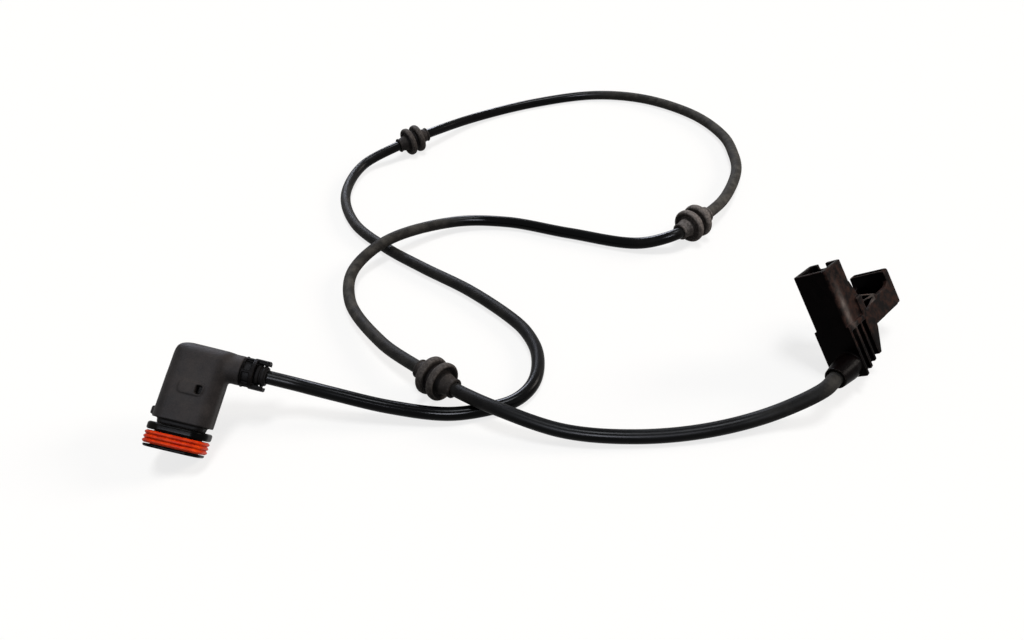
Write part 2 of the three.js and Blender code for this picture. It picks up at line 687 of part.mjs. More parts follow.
function contactBlade(side) {
  const base = shroudFloor - BLADE_ROOT;
  const blade = prism(polygon([
    [-BLADE_WIDTH / 2, base],
    [BLADE_WIDTH / 2, base],
    [BLADE_WIDTH / 2, base + BLADE_LENGTH - 1],
    [BLADE_WIDTH / 2 - 0.6, base + BLADE_LENGTH],
    [-BLADE_WIDTH / 2 + 0.6, base + BLADE_LENGTH],
    [-BLADE_WIDTH / 2, base + BLADE_LENGTH - 1],
  ]), -BLADE_THICKNESS / 2, BLADE_THICKNESS / 2);
  blade.rotateX(Math.PI / 2);
  blade.rotateZ(Math.PI / 2);
  return blade.translate(side * BLADE_PITCH / 2, 0, 0);
}

function bossSeal() {
  const radius = bossBore - GAP;
  return alongBoss(turned([
    [0, BOSS_LENGTH - BOSS_BORE_DEPTH + GAP],
    [radius, BOSS_LENGTH - BOSS_BORE_DEPTH + GAP],
    [radius, BOSS_LENGTH - BOSS_SEAL_RECESS],
    [0, BOSS_LENGTH - BOSS_SEAL_RECESS],
  ], 28));
}

function sensorHead() {
  const head = new THREE.Group();
  head.add(piece('head_housing', headHousing(), headNylon));
  head.add(piece('head_contact_left', contactBlade(-1), tinnedMetal));
  head.add(piece('head_contact_right', contactBlade(1), tinnedMetal));
  head.add(piece('head_cable_seal', bossSeal(), grommetRubber));
  return head;
}

// Grommet: two rounded flanges with a deep groove between them, on a lipped hub

function grommetGeometry() {
  const bore = CABLE_DIAMETER / 2 + GAP;
  const rim = GROMMET_FLANGE_DIAMETER / 2;
  const lip = bore + GROMMET_LIP_WALL;
  const end = GROMMET_LENGTH / 2;
  const inner = GROMMET_GROOVE_WIDTH / 2;
  const outer = inner + GROMMET_FLANGE_WIDTH;
  const floor = rim - GROMMET_GROOVE_DEPTH;
  const half = [
    [bore, end],
    [lip - 0.2, end],
    [lip, end - 0.25],
    [lip, end - 0.6],
    [lip - 0.25, end - 0.9],
    [lip - 0.05, end - 1.5],
    [THREE.MathUtils.lerp(lip, rim, 0.15), THREE.MathUtils.lerp(end - 1.5, outer, 0.45)],
    [THREE.MathUtils.lerp(lip, rim, 0.4), THREE.MathUtils.lerp(end - 1.5, outer, 0.82)],
    [rim - 1.3, outer - 0.05],
    [rim - 0.55, outer - 0.25],
    [rim - 0.12, outer - 0.85],
    [rim, (inner + outer) / 2],
    [rim - 0.15, inner + 0.6],
    [rim - 0.6, inner + 0.1],
    [rim - 1.2, inner],
    [floor, inner],
  ];
  const mirrored = half.map(([r, h]) => [r, -h]).reverse();
  const profile = [...half, ...mirrored];
  return turned([...profile, profile[0]].reverse(), 26);
}

// Placing

function orient(group, xDirection, zDirection) {
  const x = xDirection.clone().normalize();
  const y = zDirection.clone().cross(x).normalize();
  const z = x.clone().cross(y);
  group.quaternion.setFromRotationMatrix(new THREE.Matrix4().makeBasis(x, y, z));
}

function restOnTable(group, place) {
  group.position.set(place.x, place.y, 0);
  group.updateMatrixWorld(true);
  group.position.z = -new THREE.Box3().setFromObject(group, true).min.z;
  group.updateMatrixWorld(true);
}

const elbow = elbowPlug();
orient(elbow, ELBOW_ARM_DIRECTION, ELBOW_FACE_DIRECTION);
restOnTable(elbow, ELBOW_PLACE);

const head = sensorHead();
orient(head, HEAD_RIGHT_DIRECTION, HEAD_UP_DIRECTION);
restOnTable(head, HEAD_PLACE);

const grommets = GROMMET_PLACES.map(({ name, centre, along }) => {
  const grommet = piece(name, grommetGeometry(), grommetRubber);
  const direction = new THREE.Vector3(...along).normalize();
  grommet.quaternion.setFromUnitVectors(new THREE.Vector3(0, 1, 0), direction);
  grommet.position.set(...centre);
  return grommet;
});

// The cable leaves the gland straight, follows its route and enters the boss straight

function straightOut(group, x, y, z, direction, lead) {
  const start = group.localToWorld(new THREE.Vector3(x, y, z));
  const heading = new THREE.Vector3(...direction).applyQuaternion(group.quaternion);
  return [start, start.clone().addScaledVector(heading, lead)];
}

function throughGrommet({ centre, along }) {
  const middle = new THREE.Vector3(...centre);
  const heading = new THREE.Vector3(...along).normalize();
  const steps = [-1, -0.5, 0, 0.5, 1].map((share) => share * GROMMET_LEAD);
  return steps.map((step) => middle.clone().addScaledVector(heading, step));
}

const asVectors = (points) => points.map((point) => new THREE.Vector3(...point));

const route = [
  ...straightOut(elbow, glandEnd + GAP, 0, 0, [1, 0, 0], EXIT_LEAD),
  ...asVectors(ROUTE_ELBOW_TO_REAR),
  ...throughGrommet(GROMMET_PLACES[0]),
  ...asVectors(ROUTE_REAR_TO_SIDE),
  ...throughGrommet(GROMMET_PLACES[1]),
  ...asVectors(ROUTE_SIDE_TO_FRONT),
  ...throughGrommet(GROMMET_PLACES[2]),
  ...asVectors(ROUTE_FRONT_TO_HEAD),
  ...straightOut(head, BOSS_OFFSET, bossMouth + BOSS_SEAL_RECESS - GAP, BOSS_HEIGHT, [0, -1, 0], EXIT_LEAD).reverse(),
];

// The route with its rings set closer in the bends and none inside a grommet
class RingedRoute extends THREE.Curve {
  constructor(points, straights, steps) {
    super();
    this.route = new THREE.CatmullRomCurve3(points, false, 'centripetal');
    this.route.arcLengthDivisions = 2000;
    this.shares = this.spread(straights, steps);
  }

  spread(straights, steps) {
    const count = 1200;
    const samples = this.route.getSpacedPoints(count);
    const cost = [0];
    for (let k = 1; k <= count; k += 1) {
      const before = samples[Math.max(0, k - 2)];
      const leg = samples[k].clone().sub(samples[k - 1]);
      const turn = leg.angleTo(samples[k - 1].clone().sub(before).add(leg));
      cost.push(cost[k - 1] + leg.length() + CABLE_BEND_WEIGHT * turn);
    }
    const nearest = (point) => samples.reduce(
      (best, sample, k) => (sample.distanceTo(point) < samples[best].distanceTo(point) ? k : best), 0);
    const fixed = [0, ...straights.map(nearest), count];
    const shares = [0];
    for (let part = 1; part < fixed.length; part += 1) {
      const [low, high] = [fixed[part - 1], fixed[part]];
      const straight = part % 2 === 0;
      const rings = straight ? 1 : Math.round((cost[high] - cost[low]) / cost[count] * steps);
      for (let ring = 1; ring <= rings; ring += 1) {
        const goal = cost[low] + (cost[high] - cost[low]) * ring / rings;
        const reached = cost.findIndex((value, k) => k >= low && value >= goal - 1e-9);
        shares.push(ring === rings ? high / count : reached / count);
      }
    }
    return shares;
  }

  get steps() {
    return this.shares.length - 1;
  }

  share(u) {
    const place = u * this.steps;
    const ring = Math.min(Math.floor(place), this.steps - 1);
    return THREE.MathUtils.lerp(this.shares[ring], this.shares[ring + 1], place - ring);
  }

  getPointAt(u, target) {
    return this.route.getPointAt(this.share(u), target);
  }

  getTangentAt(u, target) {
    return this.route.getTangentAt(this.share(u), target);
  }
}

function cableGeometry() {
  const straights = GROMMET_PLACES.flatMap((place) => {
    const through = throughGrommet(place);
    return [through[0], through[through.length - 1]];
  });
  const path = new RingedRoute(route, straights, CABLE_STEPS);
  const section = new THREE.Shape();
  for (let k = 0; k < CABLE_SIDES; k += 1) {
    const angle = k * 2 * Math.PI / CABLE_SIDES;
    const x = Math.cos(angle) * CABLE_DIAMETER / 2;
    const y = Math.sin(angle) * CABLE_DIAMETER / 2;
    if (k === 0) {
      section.moveTo(x, y);
    } else {
      section.lineTo(x, y);
    }
  }
  return new THREE.ExtrudeGeometry(section, { steps: path.steps, extrudePath: path, bevelEnabled: false });
}

const group = new THREE.Group();
group.add(elbow, head, ...grommets);
group.add(piece('cable_sheath', cableGeometry(), sheathBlack));

export default group;
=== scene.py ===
"""Dresses the brake pad wear sensor lead: an elbow plug, a cable with three grommets and a sensor head."""

import logging
from collections.abc import Callable
from dataclasses import dataclass
from enum import Enum

import bmesh
import bpy
import numpy as np
from mathutils import Matrix, Vector


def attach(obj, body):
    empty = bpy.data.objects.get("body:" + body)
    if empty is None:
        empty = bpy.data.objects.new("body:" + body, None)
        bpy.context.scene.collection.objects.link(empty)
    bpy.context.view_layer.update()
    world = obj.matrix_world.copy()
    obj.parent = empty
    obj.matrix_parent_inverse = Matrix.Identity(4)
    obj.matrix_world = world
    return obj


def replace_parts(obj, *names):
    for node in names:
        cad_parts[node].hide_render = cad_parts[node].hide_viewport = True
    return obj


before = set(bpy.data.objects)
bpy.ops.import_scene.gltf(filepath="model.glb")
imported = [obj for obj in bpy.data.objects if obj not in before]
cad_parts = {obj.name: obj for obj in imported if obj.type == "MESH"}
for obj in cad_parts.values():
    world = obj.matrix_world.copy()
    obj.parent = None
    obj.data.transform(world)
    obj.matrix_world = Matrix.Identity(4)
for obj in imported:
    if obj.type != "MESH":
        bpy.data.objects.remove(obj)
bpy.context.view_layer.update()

log = logging.getLogger("wear_sensor_lead")

Object = bpy.types.Object
Mesh = bpy.types.Mesh
Material = bpy.types.Material
Tree = bpy.types.NodeTree
Socket = bpy.types.NodeSocket
Array = np.ndarray
Row = tuple[float, float, float]
Span = tuple[float, float]
Box = tuple[Span, Span, Span]
Share = Callable[[Array], Array]
Solid = tuple[Array, list[list[int]]]

# The part is drawn in millimetres and the scene is in metres
MM = 0.001
# Points closer than this many metres are merged, in a copy of a solid and in a new surface
SOLID_MERGE = 2e-7
SURFACE_MERGE = 1e-6


# Placing and surfaces


@dataclass(frozen=True)
class Placement:
    """The axes and the origin of an assembly, in the row frame and in millimetres."""

    origin: Row
    right: Row
    outward: Row

    def axes(self) -> Array:
        """Works out the unit axes: y is outward crossed with right, and z is right crossed with y.

        Returns:
            A 3 by 3 array, whose rows are the assembly's x, y and z in the row frame.
        """
        x = np.array(self.right) / np.linalg.norm(self.right)
        y = np.cross(self.outward, x)
        y /= np.linalg.norm(y)
        return np.stack([x, y, np.cross(x, y)])

    def to_row(self, points: Array) -> Array:
        """Carries points of the assembly to the row frame, both in millimetres."""
        return points @ self.axes() + np.array(self.origin)

    def matrix(self) -> Matrix:
        """Gives the transform from the assembly's millimetres to the row frame's metres."""
        rows = np.eye(4)
        rows[:3, :3] = self.axes().T * MM
        rows[:3, 3] = np.array(self.origin) * MM
        return Matrix(rows.tolist())


def softened(profile: Array, share: float = 0.3, steps: int = 4) -> Array:
    """Rounds the corners of an open profile.

    Each inner corner gives way to the quadratic curve between the two points that lie the given
    share of the way along its legs, with the corner as the curve's pull.

    Args:
        profile: Corner points, one a row.
        share: How far the curve reaches along each leg, up to 0.5.
        steps: Number of points on each curve.

    Returns:
        The profile with its two end points kept and each corner rounded.
    """
    before = profile[1:-1] + (profile[:-2] - profile[1:-1]) * share
    after = profile[1:-1] + (profile[2:] - profile[1:-1]) * share
    t = np.linspace(0, 1, steps)[None, :, None]
    pull = 2 * t * (1 - t) * profile[1:-1][:, None]
    curve = (1 - t) ** 2 * before[:, None] + pull + t**2 * after[:, None]
    return np.concatenate([profile[:1], curve.reshape(-1, 2), profile[-1:]])


def placed(name: str, data: bpy.types.ID) -> Object:
    """Makes an object of a mesh, a lamp or a camera and puts it in the scene."""
    holder = bpy.data.objects.new(name, data)
    bpy.context.scene.collection.objects.link(holder)
    return holder


def mended(mesh: Mesh, source: Mesh, merge: float) -> Mesh:
    """Writes the source's faces into a mesh, with near points merged and all faces turned outwards.

    Args:
        mesh: Mesh that is written, which may be the source itself.
        source: Mesh that is read.
        merge: Points no further apart than this become one, in the source's units.

    Returns:
        The written mesh.
    """
    shell = bmesh.new()
    shell.from_mesh(source)
    bmesh.ops.remove_doubles(shell, verts=shell.verts, dist=merge)
    bmesh.ops.recalc_face_normals(shell, faces=shell.faces)
    shell.to_mesh(mesh)
    shell.free()
    return mesh


def surface(name: str, grid: Array, crease_degrees: float, ring: bool = False) -> Object:
    """Makes a piece of a grid of points, with a four-sided face between each four neighbours.

    Args:
        name: Name of the piece.
        grid: Points in millimetres in the row frame, with shape (u, v, 3), round in v.
        crease_degrees: Edges that turn more than this stay sharp in the shading.
        ring: Whether the last row joins the first too.

    Returns:
        The piece, whose poles are merged and whose faces point outwards.
    """
    count_u, count_v = grid.shape[:2]
    u = np.arange(count_u if ring else count_u - 1)[:, None]
    v = np.arange(count_v)[None, :]
    next_u, next_v = (u + 1) % count_u, (v + 1) % count_v
    corners = [u * count_v + v, next_u * count_v + v, next_u * count_v + next_v, u * count_v + next_v]
    faces = np.stack([np.broadcast_to(c, (u.size, v.size)) for c in corners], axis=-1).reshape(-1, 4)
    mesh = bpy.data.meshes.new(name)
    mesh.from_pydata((grid.reshape(-1, 3) * MM).tolist(), [], faces.tolist())
    mended(mesh, mesh, SURFACE_MERGE)
    mesh.shade_smooth()
    mesh.set_sharp_from_angle(angle=np.radians(crease_degrees))
    piece = placed(name, mesh)
    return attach(piece, "root")


def turned(profile: Array, base: Array, along: Array, sides: int = 72) -> Array:
    """Turns a profile about an axis.

    Each point is base + height * along + radius * (cos(a) * across + sin(a) * upright), with the
    angle a running once round.

    Args:
        profile: Radius and height of each point, in millimetres.
        base: Point on the axis at height 0.
        along: Direction of the axis.
        sides: Number of points round.

    Returns:
        A grid of points with shape (profile points, sides, 3).
    """
    along = along / np.linalg.norm(along)
    across = np.cross(along, [0.0, 0.0, 1.0])
    across /= np.linalg.norm(across)
    upright = np.cross(across, along)
    angle = np.linspace(0, 2 * np.pi, sides, endpoint=False)[None, :, None]
    radius, height = profile[:, 0][:, None, None], profile[:, 1][:, None, None]
    return base + height * along + radius * (np.cos(angle) * across + np.sin(angle) * upright)


def oval_swept(width: float, depth: float, corner: float, profile: Array, steps: int = 18) -> Array:
    """Carries a profile round a rounded rectangle.

    Each point stands at its corner's centre plus (corner + offset) * (cos(a), sin(a)), with the
    angle a running a quarter turn at each corner, so the sides join the corners straight.

    Args:
        width: Size of the rectangle along x, in millimetres.
        depth: Size of the rectangle along z.
        corner: Radius of its corners.
        profile: Offset outwards and height along the mouth of each point.
        steps: Number of steps in each corner.

    Returns:
        A grid with shape (stations, profile points, 3), with the mouth along -y.
    """
    quarter = np.linspace(0, np.pi / 2, steps + 1)
    angle = np.concatenate([quarter + k * np.pi / 2 for k in range(4)])[:, None]
    side_x = np.repeat([1.0, -1.0, -1.0, 1.0], steps + 1)[:, None] * (width / 2 - corner)
    side_z = np.repeat([1.0, 1.0, -1.0, -1.0], steps + 1)[:, None] * (depth / 2 - corner)
    reach = corner + profile[None, :, 0]
    x, z = side_x + reach * np.cos(angle), side_z + reach * np.sin(angle)
    return np.stack([x, np.broadcast_to(-profile[None, :, 1], x.shape), z], axis=-1)


class Fineness(Enum):
    """Size of the cells in which a moulding's edges are rounded, in millimetres."""

    PLUG = 0.26
    HEAD = 0.226
    SMALL_CAP = 0.13


def carried(outline: Array, low: float, high: float) -> Solid:
    """Carries an outline in y and z across x, from one side to the other.

    Args:
        outline: Corners in y and z, in order, in millimetres.
        low: Where the solid starts in x.
        high: Where it ends.

    Returns:
        Its points and its faces.
    """
    count = len(outline)
    sides = [np.column_stack([np.full(count, x), outline]) for x in (low, high)]
    here = np.arange(count)
    after = (here + 1) % count
    walls = np.stack([here, after, after + count, here + count], axis=1).tolist()
    return np.concatenate(sides), [here[::-1].tolist(), (here + count).tolist(), *walls]


def block(x: Span, y: Span, z: Span) -> Solid:
    """Gives the block between two values along each axis."""
    return carried(np.array([(y[0], z[0]), (y[1], z[0]), (y[1], z[1]), (y[0], z[1])]), *x)


def rolled(solid: Solid, degrees: float) -> Solid:
    """Turns a solid about x."""
    points, faces = solid
    cos, sin = np.cos(np.radians(degrees)), np.sin(np.radians(degrees))
    return points @ np.array([[1, 0, 0], [0, cos, sin], [0, -sin, cos]]), faces


def within(values: Array, span: Span) -> Array:
    """Says which values lie inside a span."""
    return (values > span[0]) & (values < span[1])


def faded(values: Array, start: float, over: float, least: float = 0.0) -> Array:
    """Rises from the least share to 1 over a distance past the start, or before it if that is negative."""
    return np.clip((values - start) / over, least, 1)


def vertices(mesh: Mesh, what: str = "co") -> Array:
    """Reads the places or the normals of a mesh's vertices, one a row."""
    values = np.empty(len(mesh.vertices) * 3, np.float32)
    mesh.vertices.foreach_get(what, values)
    return values.reshape(-1, 3).astype(float)


def mark(mesh: Mesh, name: str, shares: Array) -> None:
    """Writes one number for each vertex as an attribute that a material can read."""
    mesh.attributes.new(name, "FLOAT", "POINT").data.foreach_set("value", shares.astype(np.float32))


def relaxed(mesh: Mesh, rounds: int, share: Array | float = 1.0) -> None:
    """Rounds a mesh's edges: in each round every point moves half way to the mean of its neighbours.

    Args:
        mesh: Mesh to relax.
        rounds: Number of rounds.
        share: How much of each move a point makes, for all points or for each.
    """
    count = len(mesh.vertices)
    places = vertices(mesh)
    ends = np.empty(len(mesh.edges) * 2, np.int32)
    mesh.edges.foreach_get("vertices", ends)
    ends = ends.reshape(-1, 2)
    here, there = ends.ravel(), ends[:, ::-1].ravel()
    degree = np.bincount(here, minlength=count)[:, None]
    pull = 0.5 * np.reshape(share, (-1, 1))
    for _ in range(rounds):
        total = np.stack([np.bincount(here, places[there, axis], count) for axis in range(3)], axis=1)
        places += pull * (total / degree - places)
    mesh.vertices.foreach_set("co", places.astype(np.float32).ravel())
    mesh.update()


@dataclass
class Moulding:
    """A housing with the small edge radii and sharp hollows that a steel mould leaves.

    A merged copy of the solid is laid along its own axes, its finer hollows are cut, and it is
    divided into even cells and relaxed. The wear on an edge is the distance in cells that this moved
    it inwards, times wear_per_cell and less least_wear, from 0 to 1.
    """

    node: str
    name: str
    place: Placement
    fineness: Fineness
    rounds: int
    cutters: tuple[Solid, ...] = ()
    edge_wear: float = 1.0
    wear_per_cell: float = 3.0
    least_wear: float = 0.25

    def solid(self) -> Object:
        """Gives the merged copy of the solid, along its own axes and in millimetres.

        Returns:
            The copy, as a draft that isn't part of the object.
        """
        name = self.name + "_draft"
        draft = mended(bpy.data.meshes.new(name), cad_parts[self.node].data, SOLID_MERGE)
        draft.transform(self.place.matrix().inverted())
        return placed(name, draft)

    def cut(self, holder: Object) -> list[Object]:
        """Cuts the finer hollows.

        Args:
            holder: The copy of the solid.

        Returns:
            The cutters, which are removed once the cut is applied.
        """
        name = self.name + "_cutter"
        made = []
        for points, faces in self.cutters:
            mesh = bpy.data.meshes.new(name)
            mesh.from_pydata(points.tolist(), [], faces)
            step = holder.modifiers.new("cut", "BOOLEAN")
            step.object = placed(name, mended(mesh, mesh, 0))
            step.solver = "EXACT"
            made.append(step.object)
        return made

    def build(self, softer: Share | None = None, softer_rounds: int = 0, overlaid: Share | None = None,
              dust_and_shade: Share | None = None) -> Object:
        """Builds the moulding and marks it: "overlay" for worn edges and painted light, and "dust_and_shade"
        where dust may lie.

        Args:
            softer: Says of each point, in millimetres along the solid's axes, how much more it is rounded.
            softer_rounds: Number of rounds for that.
            overlaid: Says of each point how much of the overlay tone it takes besides the edges: painted
                shade on the elbow, painted highlights on the head.
            dust_and_shade: Says of each point how much of the dust it takes, kept low where shade is
                painted.

        Returns:
            The piece, which stands for the solid.
        """
        holder = self.solid()
        cutters = self.cut(holder)
        cells = holder.modifiers.new("cells", "REMESH")
        cells.mode = "VOXEL"
        cells.voxel_size = self.fineness.value
        graph = bpy.context.evaluated_depsgraph_get()
        mesh = bpy.data.meshes.new_from_object(holder.evaluated_get(graph))
        for spent in (holder, *cutters):
            bpy.data.objects.remove(spent)
        sharp = vertices(mesh)
        relaxed(mesh, self.rounds)
        inwards = ((sharp - vertices(mesh)) * vertices(mesh, "normal")).sum(axis=1)
        wear = self.wear_per_cell * inwards / self.fineness.value - self.least_wear
        worn = self.edge_wear * np.clip(wear, 0, 1)
        if softer is not None:
            relaxed(mesh, softer_rounds, softer(vertices(mesh)))
        places = vertices(mesh)
        mark(mesh, "worn", worn if overlaid is None else np.maximum(worn, overlaid(places)))
        mark(mesh, "dust_and_shade", np.ones(len(places)) if dust_and_shade is None else dust_and_shade(places))
        mesh.transform(self.place.matrix())
        mesh.shade_smooth()
        piece = placed(self.name, mesh)
        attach(piece, "root")
        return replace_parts(piece, self.node)


# Finishes


def linear(colour: str) -> tuple[float, float, float, float]:
    """Turns an sRGB hex colour into linear light.

    Args:
        colour: Colour such as "#3b3836".

    Returns:
        Red, green, blue and an alpha of 1.
    """
    parts = np.array([int(colour[k : k + 2], 16) for k in (1, 3, 5)]) / 255
    light = np.where(parts <= 0.04045, parts / 12.92, ((parts + 0.055) / 1.055) ** 2.4)
    red, green, blue = light.tolist()
    return red, green, blue, 1.0


def per_mm(size: float) -> float:
    """Gives the texture scale at which one feature of a pattern is that many millimetres."""
    return 1 / (size * MM)


def add(tree: Tree, kind: str, values: dict[str | int, object]) -> bpy.types.Node:
    """Adds a shader node with its values and links.

    Args:
        tree: Node tree that gets the node.
        kind: The node's type, less the words that all shader nodes start with.
        values: Its properties and inputs by name, or inputs by number. A socket is linked.

    Returns:
        The new node.
    """
    node = tree.nodes.new("ShaderNode" + kind)
    for name, value in values.items():
        if isinstance(value, Socket):
            tree.links.new(value, node.inputs[name])
        elif isinstance(name, str) and hasattr(node, name):
            setattr(node, name, value)
        else:
            node.inputs[name].default_value = value
    return node


def emptied(owner: Material | bpy.types.World) -> Tree:
    """Switches a material or a world to nodes and gives its tree, emptied."""
    owner.use_nodes = True
    owner.node_tree.nodes.clear()
    return owner.node_tree


# How many finer layers each kind of noise has, and how strong they are
BLOTCH_NOISE = {"Detail": 4.0, "Roughness": 0.6}
GRAIN_NOISE = {"Detail": 3.0, "Roughness": 0.65}
DUST_NOISE = {"Detail": 5.0, "Roughness": 0.62}
TIN_NOISE = {"Detail": 4.0, "Roughness": 0.5}
# Spans of a noise that a pattern uses, as inputs 1 and 2 of Map Range: most of a noise is near its middle
TONE_SPAN = {1: 0.34, 2: 0.66}
SHEEN_SPAN = {1: 0.3, 2: 0.7}
DUST_SPAN = {1: 0.42, 2: 0.66}
OVERLAY_SPAN = {1: 0.35, 2: 0.65}
DUSTY_ROUGHNESS = 0.85


@dataclass(frozen=True)
class Finish:
    """A moulded or extruded surface: two tones in blotches, a sheen that varies, a grain and dust.

    The blotches are the uneven gloss that handling leaves, and the grain is the fine texture of
    the tool. Dust lies where the surface faces up, and more in some stretches than in others.
    """

    name: str
    tone: str
    second_tone: str
    gloss: float
    dull: float
    ior: float = 1.53
    specular: float = 0.5
    blotch_mm: float = 3.0
    grain_mm: float = 0.4
    grain_height_mm: float = 0.02
    dust: str = "#6b625a"
    dust_share: float = 0.0
    dust_mm: float = 9.0
    dust_from: float = -0.3
    dust_full: float = 0.9
    dust_least: float = 0.25
    dust_even: float = 0.0
    speckle: float = 0.0
    # The overlay tone and its share: worn edges; on the elbow a painted shade, on the head painted
    # highlights
    overlay_tone: str = "#6f6661"
    overlay_share: float = 0.0
    overlay_least: float = 0.3
    marked_cover: bool = False

    def material(self) -> Material:
        """Builds the material.

        Returns:
            The material, whose patterns read Object coordinates.
        """
        made = bpy.data.materials.new(self.name)
        tree = emptied(made)
        place = add(tree, "TexCoord", {}).outputs["Object"]
        blotch = add(tree, "TexNoise", {"Vector": place, "Scale": per_mm(self.blotch_mm),
                                        **BLOTCH_NOISE}).outputs["Fac"]
        grain = add(tree, "TexNoise", {"Vector": place, "Scale": per_mm(self.grain_mm),
                                       **GRAIN_NOISE}).outputs["Fac"]
        mixed = add(tree, "Mix", {"data_type": "FLOAT", 0: self.speckle, 2: blotch, 3: grain}).outputs[0]
        spread = add(tree, "MapRange", {0: mixed, **TONE_SPAN}).outputs[0]
        body = add(tree, "Mix", {"data_type": "RGBA", 0: spread, 6: linear(self.tone),
                                 7: linear(self.second_tone)}).outputs[2]
        dusting = self.dusting(tree, place)
        colour = add(tree, "Mix", {"data_type": "RGBA", 0: dusting, 6: body,
                                   7: linear(self.dust)}).outputs[2]
        if self.overlay_share > 0:
            colour = self.worn(tree, blotch, colour)
        rough = add(tree, "Mix", {"data_type": "FLOAT", 0: dusting, 2: self.sheen(tree, blotch),
                                  3: DUSTY_ROUGHNESS}).outputs[0]
        bump = add(tree, "Bump", {"Strength": 1.0, "Distance": self.grain_height_mm * MM,
                                  "Height": self.height(tree, grain)}).outputs["Normal"]
        shader = add(tree, "BsdfPrincipled", {"IOR": self.ior, "Specular IOR Level": self.specular,
                                              "Base Color": colour, "Roughness": rough, "Normal": bump})
        add(tree, "OutputMaterial", {"Surface": shader.outputs["BSDF"]})
        return made

    def sheen(self, tree: Tree, blotch: Socket) -> Socket:
        """Gives the roughness, which varies with the blotches."""
        return add(tree, "MapRange", {0: blotch, **SHEEN_SPAN, 3: self.gloss, 4: self.dull}).outputs[0]

    def dusting(self, tree: Tree, place: Socket) -> Socket:
        """Works out how much dust covers each point: patches times the share, more where it faces up; on the
        head this brown also paints the light on faces turned to the lamps.

        Args:
            tree: Node tree of the material.
            place: Object coordinates.

        Returns:
            The socket with the dust, from 0 to the share.
        """
        patch = add(tree, "TexNoise", {"Vector": place, "Scale": per_mm(self.dust_mm),
                                       **DUST_NOISE}).outputs["Fac"]
        patches = add(tree, "MapRange", {0: patch, **DUST_SPAN, 3: self.dust_even}).outputs[0]
        normal = add(tree, "NewGeometry", {}).outputs["Normal"]
        facing = add(tree, "SeparateXYZ", {0: normal}).outputs["Z"]
        upward = add(tree, "MapRange", {0: facing, 1: self.dust_from, 2: self.dust_full,
                                        3: self.dust_least}).outputs[0]
        both = add(tree, "Math", {"operation": "MULTIPLY", 0: patches, 1: upward}).outputs[0]
        share = add(tree, "Math", {"operation": "MULTIPLY", 0: both, 1: self.dust_share}).outputs[0]
        if not self.marked_cover:
            return share
        dust_and_shade = add(tree, "Attribute", {"attribute_name": "dust_and_shade"}).outputs["Fac"]
        return add(tree, "Math", {"operation": "MULTIPLY", "use_clamp": True,
                                  0: share, 1: dust_and_shade}).outputs[0]

    def worn(self, tree: Tree, patch: Socket, colour: Socket) -> Socket:
        """Mixes in the overlay tone where the piece's own attribute says, unevenly: worn edges, painted
        shade and painted highlights.

        Args:
            tree: Node tree of the material.
            patch: Noise that breaks the overlay up.
            colour: Colour of the surface.

        Returns:
            The socket with the mixed colour.
        """
        overlaid = add(tree, "Attribute", {"attribute_name": "worn"}).outputs["Fac"]
        least = self.overlay_least * self.overlay_share
        uneven = add(tree, "MapRange", {0: patch, **OVERLAY_SPAN, 3: least, 4: self.overlay_share}).outputs[0]
        share = add(tree, "Math", {"operation": "MULTIPLY", 0: overlaid, 1: uneven}).outputs[0]
        return add(tree, "Mix", {"data_type": "RGBA", 0: share, 6: colour,
                                 7: linear(self.overlay_tone)}).outputs[2]

    def height(self, tree: Tree, grain: Socket) -> Socket:
        """Gives the height that the bump reads, which is the grain alone on a moulded surface."""
        return grain


@dataclass(frozen=True)
class ExtrudedJacket(Finish):
    """A cable jacket of polyurethane: drawn out of a die, so its faint lines run along the cable."""

    line_mm: float = 0.35
    line_stretch: float = 20.0
    scuffed: float = 0.62
    even_share: float = 0.45

    def sheen(self, tree: Tree, blotch: Socket) -> Socket:
        """Raises the roughness where the cable's own attribute says that it is scuffed dull.

        Args:
            tree: Node tree of the material.
            blotch: Noise that the clean jacket's gloss varies with.

        Returns:
            The socket with the roughness.
        """
        clean = super().sheen(tree, blotch)
        dull = add(tree, "Attribute", {"attribute_name": "dull"}).outputs["Fac"]
        return add(tree, "Mix", {"data_type": "FLOAT", 0: dull, 2: clean, 3: self.scuffed}).outputs[0]

    def dusting(self, tree: Tree, place: Socket) -> Socket:
        """Lets the dust lie in the stretches that the cable's own attribute names, partly in patches.

        Args:
            tree: Node tree of the material.
            place: Object coordinates.

        Returns:
            The socket with the dust, from 0 to 1.
        """
        patches = super().dusting(tree, place)
        stretch = add(tree, "Attribute", {"attribute_name": "dust"}).outputs["Fac"]
        even = add(tree, "Math", {"operation": "MULTIPLY", 0: stretch, 1: self.even_share}).outputs[0]
        uneven = add(tree, "Math", {"operation": "MULTIPLY", 0: stretch, 1: patches}).outputs[0]
        return add(tree, "Math", {"operation": "ADD", "use_clamp": True, 0: even, 1: uneven}).outputs[0]

    def height(self, tree: Tree, grain: Socket) -> Socket:
        """Adds the die lines to the grain: noise that is stretched along the cable's own map.

        Args:
            tree: Node tree of the material.
            grain: Height of the grain.

        Returns:
            The socket with both heights.
        """
        along = add(tree, "UVMap", {"uv_map": "along"}).outputs["UV"]
        scale = (per_mm(self.line_mm * self.line_stretch), per_mm(self.line_mm), 1.0)
        drawn = add(tree, "Mapping", {"Vector": along, "Scale": scale}).outputs["Vector"]
        lines = add(tree, "TexNoise", {"Vector": drawn, "Scale": 1.0, "Detail": 2.0}).outputs["Fac"]
        return add(tree, "Math", {"operation": "ADD", 0: grain, 1: lines}).outputs[0]


